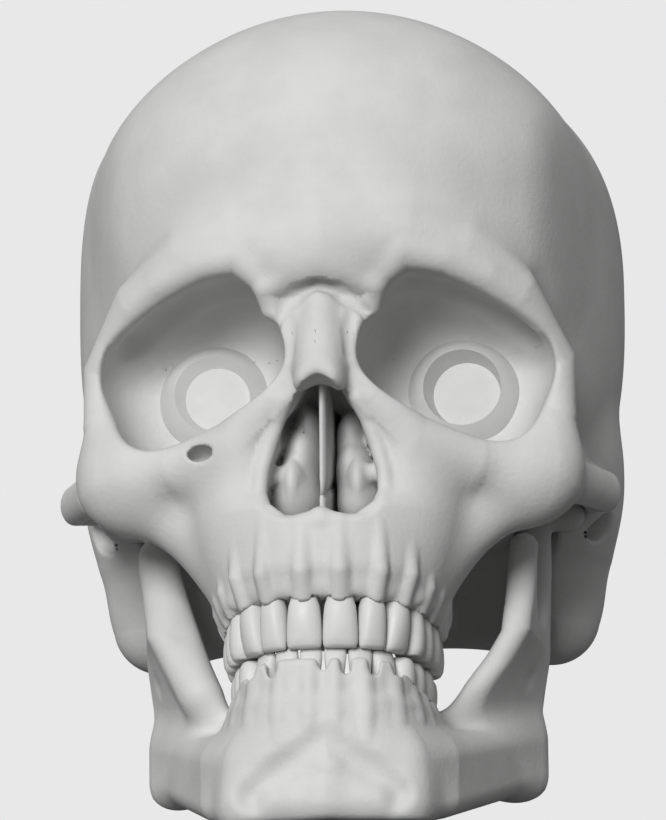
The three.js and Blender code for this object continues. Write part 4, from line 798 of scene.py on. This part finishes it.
nose_rim = chain(
    [
        (2, 8.4, 71.4, 1.7),
        (9, 9.2, 72, 1.6),
        (13.6, 11.5, 76, 1.6),
        (15.2, 14, 80, 1.8),
        (14.8, 15.6, 86, 1.9),
        (13.2, 16, 92, 2),
        (11.2, 15.2, 98, 2),
        (9, 12.6, 103, 1.9),
    ]
)
spine_peak = chain([(-8, 9.4, 70.2, 1.6), (0, 8.6, 72.2, 3.2), (8, 9.4, 70.2, 1.6)])
right_lumps = join(
    soft_blend,
    ellipsoid((-7.8, 33, 82.5), (6.4, 12, 8)),
    ellipsoid((-6.2, 36, 93), (5, 14, 9)),
    ellipsoid((-4.6, 38, 102), (3.4, 12, 6)),
)
left_lumps = join(
    soft_blend,
    ellipsoid((7.8, 32, 81), (5.6, 11, 6.5)),
    ellipsoid((6, 36, 89.5), (4.4, 13, 8)),
    ellipsoid((5.4, 40, 99), (4, 12, 7)),
)

root_groove = chain(
    [
        (-10.8, 10.8, 121.6, 1.2),
        (-8, 10, 126.2, 1.6),
        (-5, 9.4, 129.6, 1.8),
        (-0.8, 8.6, 131.2, 2),
        (3.6, 9.2, 130, 1.8),
        (7, 10, 126.8, 1.6),
        (10.8, 11.2, 124.2, 1.2),
    ]
)
nasal_bar = chain([(0, 12.2, 128.4, 3.4), (0, 9.9, 122, 3.8), (0, 9, 116, 4)])
bridge_side = chain([(8, 9.3, 124.6, 1.3), (7.8, 8, 119, 2), (8, 8, 113, 1.6)])
brow_edge = join(
    crisp_blend,
    chain([(0, 8, 135.6, 3.4), (7, 9.4, 134, 3.4), (13, 11, 130.6, 3.1), (12.2, 13.4, 126.2, 2.2)]),
    chain(
        [
            (13, 11, 132, 3.2),
            (20, 10.6, 138.4, 3),
            (30, 13.6, 137.4, 3),
            (40, 18, 133.9, 2.8),
            (47, 22.8, 129.4, 2.2),
            (52, 28.4, 124.4, 1),
        ]
    ),
)
glabella_swell = ellipsoid((0, 12, 138), (17, 8.3, 7.4))
orbit_roof = chain([(23, 25, 130.6, 6.2), (31, 27, 129.6, 6.2), (39, 31, 126.8, 6), (46, 35.5, 123.4, 5.2)])
orbit_corner = chain([(20.2, 14, 135.6, 1.7), (24, 30, 131.5, 3)])

chin_bump = join(
    soft_blend,
    chain([(-11, 13.4, 5, 3.4), (0.5, 12.6, 5, 4.4), (12, 13.4, 5, 3.4)]),
    chain([(1.5, 10.4, 11.6, 2.4), (0.5, 12.6, 5, 4.4)]),
)
chin_valley = chain(
    [(-17, 9.4, 6, 3.2), (-8.5, 6.9, 13, 3.2), (0.8, 5, 19, 2.8), (9.5, 6.9, 13.2, 3.2), (17.5, 9.4, 6, 3.2)]
)


def beyond_face(x, y, z):
    return y - face_front


def below_floor(x, y, z):
    return z


carved_skull = carve(
    soft_blend,
    carve(crisp_blend, hollow_skull, jaw_sweep, paired(orbit_corner)),
    paired(orbit_roof),
    gum_slope,
)
swollen_skull = join(soft_blend, carved_skull, paired(brow_edge), glabella_swell, nasal_bar)
cranium = carve(
    crisp_blend,
    join(
        crisp_blend,
        swollen_skull,
        paired(shell_bone),
        root_bulges,
        paired(nose_rim),
        spine_peak,
        right_lumps,
        left_lumps,
    ),
    paired(condyle(condyle_radius + socket_gap)),
    sockets(upper_teeth),
    root_groove,
    paired(bridge_side),
    beyond_face,
)
valleyed_jaw = carve(soft_blend, join(crisp_blend, mandible, lower_plate, lower_bulges), chin_valley)
lower_jaw = carve(
    crisp_blend,
    join(soft_blend, valleyed_jaw, chin_bump),
    sockets(lower_teeth),
    *neck_gaps(),
    below_floor,
)

# Meshing: one surface for a whole body, split among its bones without a step between them
workers = 4
chunk = 30000
blocks = 4
least_slope = 0.2


def sample(field, places):
    parts = np.array_split(places, max(len(places) // chunk, 1))
    with ThreadPoolExecutor(workers) as pool:
        values = list(pool.map(lambda part: field(*np.ascontiguousarray(part.T)), parts))
    return np.concatenate(values)


def lattice(field, low, high, step):
    """Field on a lattice, measured near the surface only."""
    size = [math.ceil((b - a) / step / blocks) for a, b in zip(low, high)]
    middle = (blocks - 1) / 2
    coarse = np.stack(np.meshgrid(*(np.arange(n) for n in size), indexing="ij"), -1).reshape(-1, 3)
    rough = sample(field, low + (coarse * blocks + middle) * step)
    values = np.repeat(np.repeat(np.repeat(rough.reshape(size), blocks, 0), blocks, 1), blocks, 2)
    near = coarse[np.abs(rough) < blocks * step]
    inner = np.stack(np.meshgrid(*(np.arange(blocks),) * 3, indexing="ij"), -1).reshape(-1, 3)
    fine = (near[:, None, :] * blocks + inner[None]).reshape(-1, 3)
    values[tuple(fine.T)] = sample(field, low + fine * step)
    return values


def nearest_labels(places, tree, owners):
    found = [owners[tree.find_nearest(place)[2]] for place in places.tolist()]
    return np.array(found, np.int16)


def corner_views(grid):
    for offset in np.ndindex(2, 2, 2):
        yield grid[tuple(slice(o, n - 1 + o) for o, n in zip(offset, grid.shape))]


def settle_labels(labels, inside, rounds=6):
    """Gives stray spots of one bone to the bone around them."""
    steps = [side * axis for axis in np.eye(3, dtype=int) for side in (-1, 1)]
    for _ in range(rounds):
        around = np.stack([labels[tuple((inside + step).T)] for step in steps], 1)
        own = labels[tuple(inside.T)][:, None]
        loose = (around == own).sum(1) * 2 < (around > 0).sum(1)
        for place, near in zip(inside[loose], around[loose]):
            labels[tuple(place)] = np.bincount(near[near > 0]).argmax()


def split_surface(field, low, high, step, label):
    """Closed faces of every label, sharing their corners: places, normals, quads, labels and outer marks."""
    low = np.array(low, float)
    values = lattice(field, low, high, step)
    labels = np.zeros(values.shape, np.int16)
    inside = np.argwhere(values < 0)
    labels[tuple(inside.T)] = label(low + inside * step)
    settle_labels(labels, inside)
    least = np.minimum.reduce(list(corner_views(labels)))
    most = np.maximum.reduce(list(corner_views(labels)))
    cells = np.argwhere(least != most)
    ids = np.full(least.shape, -1, np.int64)
    ids[tuple(cells.T)] = np.arange(len(cells))
    sums = np.zeros((2, 4, len(cells)))
    quads, owners, outer = [], [], []
    for axis in range(3):
        ahead = np.eye(3, dtype=int)[axis]
        first = labels[tuple(slice(0, n - a) for n, a in zip(labels.shape, ahead))]
        second = labels[tuple(slice(a, n) for n, a in zip(labels.shape, ahead))]
        starts = np.argwhere(first != second)
        starts = starts[np.all((starts > 0) & (starts < np.array(labels.shape) - 1), axis=1)]
        ends = starts + ahead
        a, b = labels[tuple(starts.T)], labels[tuple(ends.T)]
        fa, fb = values[tuple(starts.T)], values[tuple(ends.T)]
        open_air = (a == 0) | (b == 0)
        t = np.where(open_air, fa / np.where(open_air, fa - fb, 1), 0.5)
        crossings = low + (starts + t[:, None] * ahead) * step
        side = np.eye(3, dtype=int)[(axis + 1) % 3]
        up = np.eye(3, dtype=int)[(axis + 2) % 3]
        ring = np.stack([ids[tuple((starts - d).T)] for d in (side + up, up, 0 * up, side)], 1)
        for corner in ring.T:
            for kind, chosen in ((0, open_air), (1, ~open_air)):
                where = corner[chosen]
                for k in range(3):
                    sums[kind, k] += np.bincount(where, crossings[chosen, k], len(cells))
                sums[kind, 3] += np.bincount(where, minlength=len(cells))
        for owner, turned in ((a, False), (b, True)):
            mine = owner > 0
            quads.append(ring[mine][:, ::-1] if turned else ring[mine])
            owners.append(owner[mine])
            outer.append(open_air[mine])
    quads, owners, outer = (np.concatenate(part) for part in (quads, owners, outer))
    on_surface = sums[0, 3] > 0
    counted = np.where(on_surface, 0, 1)
    chosen = sums[counted, :, np.arange(len(cells))]
    places = chosen[:, :3] / chosen[:, 3:]
    places = settle_walls(places, quads[~outer], on_surface)
    normals = np.zeros_like(places)
    places[on_surface], normals[on_surface] = onto_surface(field, places[on_surface], step)
    return places, normals, quads, owners, outer


def settle_walls(places, quads, fixed, rounds=12):
    """Evens out the hidden walls between bones, up to the outer surface."""
    pairs = np.concatenate([quads[:, (i, (i + 1) % 4)] for i in range(4)])
    pairs = np.concatenate((pairs, pairs[:, ::-1]))
    counts = np.bincount(pairs[:, 0], minlength=len(places))
    loose = ~fixed & (counts > 0)
    for _ in range(rounds):
        sums = [np.bincount(pairs[:, 0], places[pairs[:, 1], k], len(places)) for k in range(3)]
        mean = np.stack(sums, 1)
        places = places.copy()
        places[loose] = mean[loose] / counts[loose, None]
    return places


def onto_surface(field, places, step, rounds=2):
    """Moves places onto the surface and gives its normals there."""
    small = step / 10
    for _ in range(rounds):
        steps = [np.zeros(3)] + [small * axis for axis in np.eye(3)]
        values = sample(field, np.concatenate([places + d for d in steps])).reshape(4, -1)
        slope = (values[1:] - values[0]).T / small
        size = np.maximum(np.linalg.norm(slope, axis=1), least_slope)
        normals = slope / size[:, None]
        move = np.clip(values[0] / size, -step / 2, step / 2)
        places = places - normals * move[:, None]
    return places, normals / np.maximum(np.linalg.norm(normals, axis=1), 1e-6)[:, None]


shift = septum_front_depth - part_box("vomer")[0][1] * 1000


def in_frame(places):
    return (np.asarray(places) - (0, shift, 0)) / 1000


def label_by(nodes):
    corners, faces, owners = [], [], []
    for number, name in enumerate(nodes, 1):
        mesh = frame["nodes"][name].data
        start = len(corners)
        corners.extend(vertex.co[:] for vertex in mesh.vertices)
        for polygon in mesh.polygons:
            faces.append([start + i for i in polygon.vertices])
            owners.append(number)
    tree = BVHTree.FromPolygons(corners, faces)
    return lambda places: nearest_labels(in_frame(places), tree, owners)


def add_mesh(name, corners, faces, material, body, normals=None):
    mesh = bpy.data.meshes.new(name)
    mesh.from_pydata(corners.tolist(), [], faces)
    mesh.shade_smooth()
    if normals is not None:
        mesh.normals_split_custom_set(normals.tolist())
    mesh.materials.append(material)
    piece = bpy.data.objects.new(name, mesh)
    bpy.context.scene.collection.objects.link(piece)
    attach(piece, body)
    return piece


def bones_of(field, low, high, step, nodes, body, material):
    places, normals, quads, owners, outer = split_surface(field, low, high, step, label_by(nodes))
    places = in_frame(places)
    for number, node in enumerate(nodes, 1):
        mine = owners == number
        used, faces = np.unique(quads[mine], return_inverse=True)
        faces = faces.reshape(-1, 4)
        corners = places[used]
        first, second, third, fourth = (corners[faces[:, i]] for i in range(4))
        across = np.cross(third - first, fourth - second)
        flat = across / np.maximum(np.linalg.norm(across, axis=1), 1e-12)[:, None]
        loops = np.where(outer[mine][:, None, None], normals[used][faces], flat[:, None, :])
        loops = loops.reshape(-1, 3)
        piece = add_mesh(f"{node}_surface", corners, faces.tolist(), material, body, loops)
        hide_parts(node)


# Materials
def nodes_of(name):
    material = bpy.data.materials.new(name)
    material.use_nodes = True
    tree = material.node_tree
    tree.nodes.clear()
    output = tree.nodes.new("ShaderNodeOutputMaterial")
    shader = tree.nodes.new("ShaderNodeBsdfPrincipled")
    tree.links.new(shader.outputs["BSDF"], output.inputs["Surface"])
    return material, tree, shader


def grey(value):
    return (value, value, value, 1)


def noise(tree, scale, detail, roughness):
    node = tree.nodes.new("ShaderNodeTexNoise")
    place = tree.nodes.new("ShaderNodeTexCoord")
    tree.links.new(place.outputs["Object"], node.inputs["Vector"])
    node.inputs["Scale"].default_value = scale
    node.inputs["Detail"].default_value = detail
    node.inputs["Roughness"].default_value = roughness
    return node.outputs["Fac"]


def ramp(tree, value, low, high, first, last):
    node = tree.nodes.new("ShaderNodeValToRGB")
    tree.links.new(value, node.inputs["Fac"])
    for element, position, colour in zip(node.color_ramp.elements, (low, high), (first, last)):
        element.position = position
        element.color = colour
    return node.outputs["Color"]


cloud_scale = 45
sheen_spread = 0.06
bump_strength = 0.35
specular_level = 0.25


def cast_surface(name, dark, light, rough, grain, depth):
    """Matt casting: faint clouds of tone, uneven roughness and a fine grain."""
    material, tree, shader = nodes_of(name)
    clouds = noise(tree, cloud_scale, detail=4, roughness=0.55)
    tone = ramp(tree, clouds, low=0.35, high=0.65, first=dark, last=light)
    tree.links.new(tone, shader.inputs["Base Color"])
    spread = noise(tree, cloud_scale * 3, detail=3, roughness=0.6)
    smooth, dull = grey(rough - sheen_spread), grey(rough + sheen_spread)
    sheen = ramp(tree, spread, low=0.3, high=0.7, first=smooth, last=dull)
    tree.links.new(sheen, shader.inputs["Roughness"])
    bump = tree.nodes.new("ShaderNodeBump")
    bump.inputs["Strength"].default_value = bump_strength
    bump.inputs["Distance"].default_value = depth
    tree.links.new(noise(tree, grain, detail=5, roughness=0.6), bump.inputs["Height"])
    tree.links.new(bump.outputs["Normal"], shader.inputs["Normal"])
    shader.inputs["Specular IOR Level"].default_value = specular_level
    return material


bone_dark = (0.56, 0.56, 0.555, 1)
bone_light = (0.63, 0.63, 0.625, 1)
tooth_dark = (0.62, 0.62, 0.61, 1)
tooth_light = (0.68, 0.68, 0.67, 1)
bone_material = cast_surface("cast_bone", bone_dark, bone_light, rough=0.6, grain=700, depth=0.0003)
tooth_material = cast_surface("cast_tooth", tooth_dark, tooth_light, rough=0.42, grain=500, depth=0.00015)

# Bones
step = 1
edge = 3 * step
forehead_swell = 5
head_low = (-braincase_breadth - edge, -edge, mastoid_tip[2] - mastoid_tip[3] * 2 - edge)
head_high = (
    braincase_breadth + edge,
    braincase_depth + braincase_back + edge,
    braincase_height + braincase_rise + forehead_swell + edge,
)
bodies = frame["record"]["behaviour"]["bodies"]
own_shape = ("vomer",)
skull_bones = [name for name in bodies["cranium"] if not name.startswith("upper_") and name not in own_shape]
bones_of(cranium, head_low, head_high, step, skull_bones, "cranium", bone_material)

jaw_low = (-braincase_breadth - edge, chin_depth - body_wall * 3 - edge, body_lower[0] - edge)
jaw_high = (
    braincase_breadth + edge,
    condyle_depth + condyle_radius * 2 + edge,
    condyle_height + condyle_radius + edge,
)
bones_of(lower_jaw, jaw_low, jaw_high, step, ["mandible"], "lower_jaw", bone_material)


# Teeth
def tooth(name, place, rings, body):
    corners = []
    for level, across, along in rings:
        for i in range(tooth_sides):
            turn = 2 * math.pi * i / tooth_sides
            c, s = math.cos(turn), math.sin(turn)
            size = (abs(c) ** tooth_squareness + abs(s) ** tooth_squareness) ** (-1 / tooth_squareness)
            corners.append(place @ Vector((across * c * size, along * s * size, level)))
    faces = [tuple(reversed(range(tooth_sides)))]
    for ring in range(len(rings) - 1):
        for i in range(tooth_sides):
            a, b = ring * tooth_sides + i, ring * tooth_sides + (i + 1) % tooth_sides
            faces.append((a, b, b + tooth_sides, a + tooth_sides))
    faces.append(tuple(range((len(rings) - 1) * tooth_sides, len(rings) * tooth_sides)))
    places = in_frame([corner[:] for corner in corners])
    piece = add_mesh(f"{name}_surface", places, faces, tooth_material, body)
    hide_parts(name)


for row, body in ((upper_teeth, "cranium"), (lower_teeth, "lower_jaw")):
    for name, place, rings in row:
        tooth(name, place, rings, body)

# Round bosses in the orbits
boss_crease = math.radians(30)


def boss(name, x, floor_depth, floor_share, floor_shift):
    """A ball turned about a line from front to back, with a recess whose floor is off centre."""
    front = boss_depth - math.sqrt(boss_radius**2 - boss_recess_radius**2)
    opening = math.asin(boss_recess_radius / boss_radius)
    profile = [(boss_recess_floor_radius * floor_share, floor_depth), (boss_recess_radius, front)]
    for i in range(1, boss_rings):
        turn = mix(opening, math.pi, i / boss_rings)
        profile.append((boss_radius * math.sin(turn), boss_depth - boss_radius * math.cos(turn)))
    corners, faces = [], []
    for ring, (radius, depth) in enumerate(profile):
        slide = 0 if ring else floor_shift
        for i in range(boss_turns):
            turn = 2 * math.pi * i / boss_turns
            across = x + slide + radius * math.cos(turn)
            corners.append((across, depth, boss_height - slide + radius * math.sin(turn)))
    last = (len(profile) - 1) * boss_turns
    for start in range(0, last, boss_turns):
        for i in range(boss_turns):
            a, b = start + i, start + (i + 1) % boss_turns
            faces.append((b, a, a + boss_turns, b + boss_turns))
    faces.append(tuple(range(boss_turns)))
    faces.append(tuple(reversed(range(last, last + boss_turns))))
    piece = add_mesh(name, in_frame(corners), faces, bone_material, "cranium")
    piece.data.set_sharp_from_angle(angle=boss_crease)


left_floor_depth = boss_recess_floor_depth + 1.6
right_floor_depth = boss_recess_floor_depth - 0.7
boss("left_orbital_boss", boss_breadth, left_floor_depth, floor_share=1.06, floor_shift=1)
boss("right_orbital_boss", -right_boss_breadth, right_floor_depth, floor_share=1.02, floor_shift=0.9)

# Nasal septum: two thin upright plates, slightly bowed
plate_rows = 10
plate_columns = 14
plate_rim_share = 0.4
septum_bow = 0.7
septum_foot = nose_height - nose_drop - septum_seat
septum_rise = septum_top_height - septum_foot


def plate(name, outline, node=None):
    corners, faces = [], []
    foot_front, foot_back, top_back, top_front = (np.array(corner) for corner in outline)
    for side in (-1, 1):
        for row in range(plate_rows + 1):
            for column in range(plate_columns + 1):
                s, t = column / plate_columns, row / plate_rows
                y, z = mix(mix(foot_front, foot_back, s), mix(top_front, top_back, s), t)
                bow = septum_bow * math.sin(math.pi * s) * math.sin(math.pi * (z - septum_foot) / septum_rise)
                inward = min(s, 1 - s, t, 1 - t) * plate_columns
                half = septum_half_thickness * min(1, plate_rim_share + inward)
                corners.append((bow + side * half, y, z))

    def at(side, row, column):
        return (side * (plate_rows + 1) + row) * (plate_columns + 1) + column

    for row in range(plate_rows):
        for column in range(plate_columns):
            quad = [(row, column), (row, column + 1), (row + 1, column + 1), (row + 1, column)]
            faces.append([at(0, *q) for q in reversed(quad)])
            faces.append([at(1, *q) for q in quad])
    rim = [(0, c) for c in range(plate_columns)] + [(r, plate_columns) for r in range(plate_rows)]
    rim += [(plate_rows, c) for c in range(plate_columns, 0, -1)] + [(r, 0) for r in range(plate_rows, 0, -1)]
    for a, b in zip(rim, rim[1:] + rim[:1]):
        faces.append([at(0, *a), at(0, *b), at(1, *b), at(1, *a)])
    piece = add_mesh(name, in_frame(corners), faces, bone_material, "cranium")
    if node:
        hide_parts(node)


vomer_outline = [
    (septum_front_depth, septum_foot),
    (septum_back_depth - septum_seat, septum_foot),
    (septum_back_depth + septum_seat, septum_seam_back_height),
    (septum_front_depth, septum_seam_front_height),
]
upper_outline = [
    (septum_front_depth, septum_seam_front_height),
    (septum_back_depth, septum_seam_back_height),
    (septum_top_back_depth, septum_top_height),
    (septum_front_depth, septum_top_height),
]
plate("vomer_surface", vomer_outline, "vomer")
plate("perpendicular_plate_surface", upper_outline)

# Floor: pale to the camera, plain grey to the light it sends back, and open from below
floor_half = 3
floor_sent = 0.18
floor_seen = 0.75
floor_roughness = 0.9


def floor_material():
    material, tree, shader = nodes_of("pale_floor")
    path = tree.nodes.new("ShaderNodeLightPath")
    back = tree.nodes.new("ShaderNodeNewGeometry")
    clear = tree.nodes.new("ShaderNodeBsdfTransparent")
    shade = tree.nodes.new("ShaderNodeMixRGB")
    shade.inputs["Color1"].default_value = grey(floor_sent)
    shade.inputs["Color2"].default_value = grey(floor_seen)
    tree.links.new(path.outputs["Is Camera Ray"], shade.inputs["Fac"])
    tree.links.new(shade.outputs["Color"], shader.inputs["Base Color"])
    shader.inputs["Roughness"].default_value = floor_roughness
    mixed = tree.nodes.new("ShaderNodeMixShader")
    output = next(node for node in tree.nodes if node.type == "OUTPUT_MATERIAL")
    tree.links.new(back.outputs["Backfacing"], mixed.inputs["Fac"])
    tree.links.new(shader.outputs["BSDF"], mixed.inputs[1])
    tree.links.new(clear.outputs["BSDF"], mixed.inputs[2])
    tree.links.new(mixed.outputs["Shader"], output.inputs["Surface"])
    return material


floor_mesh = bpy.data.meshes.new("floor")
floor_signs = ((-1, -1), (1, -1), (1, 1), (-1, 1))
floor_mesh.from_pydata([(floor_half * x, floor_half * y, 0) for x, y in floor_signs], [], [(0, 1, 2, 3)])
floor_mesh.materials.append(floor_material())
floor = bpy.data.objects.new("floor", floor_mesh)
bpy.context.scene.collection.objects.link(floor)

# Light: a broad key from the front, a little above and left of the camera
key_direction = (-0.19, -0.95, 0.22)
key_energy = 2.7
key_breadth = math.radians(25)
key_data = bpy.data.lights.new("key", "SUN")
key_data.energy = key_energy
key_data.angle = key_breadth
key = bpy.data.objects.new("key", key_data)
key.rotation_mode = "QUATERNION"
key.rotation_quaternion = Vector(key_direction).to_track_quat("Z", "Y")
bpy.context.scene.collection.objects.link(key)

# Sky: weak and darker below, with a plain pale grey behind the skull
sky_below = 0.03
sky_above = 0.42
backdrop = 0.807
world = bpy.data.worlds.new("studio")
bpy.context.scene.world = world
world.use_nodes = True
sky = world.node_tree
sky.nodes.clear()
sky_output = sky.nodes.new("ShaderNodeOutputWorld")
place = sky.nodes.new("ShaderNodeTexCoord")
split = sky.nodes.new("ShaderNodeSeparateXYZ")
height = sky.nodes.new("ShaderNodeMapRange")
height.inputs["From Min"].default_value = -1
ambient = sky.nodes.new("ShaderNodeMixRGB")
ambient.inputs["Color1"].default_value = grey(sky_below)
ambient.inputs["Color2"].default_value = grey(sky_above)
path = sky.nodes.new("ShaderNodeLightPath")
seen = sky.nodes.new("ShaderNodeMixRGB")
seen.inputs["Color2"].default_value = grey(backdrop)
light = sky.nodes.new("ShaderNodeBackground")
sky.links.new(place.outputs["Generated"], split.inputs["Vector"])
sky.links.new(split.outputs["Z"], height.inputs["Value"])
sky.links.new(height.outputs["Result"], ambient.inputs["Fac"])
sky.links.new(ambient.outputs["Color"], seen.inputs["Color1"])
sky.links.new(path.outputs["Is Camera Ray"], seen.inputs["Fac"])
sky.links.new(seen.outputs["Color"], light.inputs["Color"])
sky.links.new(light.outputs["Background"], sky_output.inputs["Surface"])

# Camera, from the photograph's low angle and slightly to the right
camera_place = (0.10256, -1.29925, -0.22764)
camera_angles = (4.666, -14.97, -0.42)
camera_lens = 231.8
sensor_height = 36
camera_data = bpy.data.cameras.new("camera")
camera_data.sensor_fit = "VERTICAL"
camera_data.sensor_height = sensor_height
camera_data.lens = camera_lens
camera_data.clip_start = 0.05
camera = bpy.data.objects.new("camera", camera_data)
azimuth, elevation, roll = (math.radians(angle) for angle in camera_angles)
level = math.cos(elevation)
back = Vector((math.sin(azimuth) * level, -math.cos(azimuth) * level, math.sin(elevation)))
right = (-back).cross(Vector((0, 0, 1))).normalized()
up = right.cross(-back)
turned_right = math.cos(roll) * right + math.sin(roll) * up
turned_up = math.cos(roll) * up - math.sin(roll) * right
facing = Matrix((turned_right, turned_up, back)).transposed().to_4x4()
camera.matrix_world = Matrix.Translation(camera_place) @ facing
bpy.context.scene.collection.objects.link(camera)
bpy.context.scene.camera = camera

bpy.context.scene.view_settings.view_transform = "Standard"
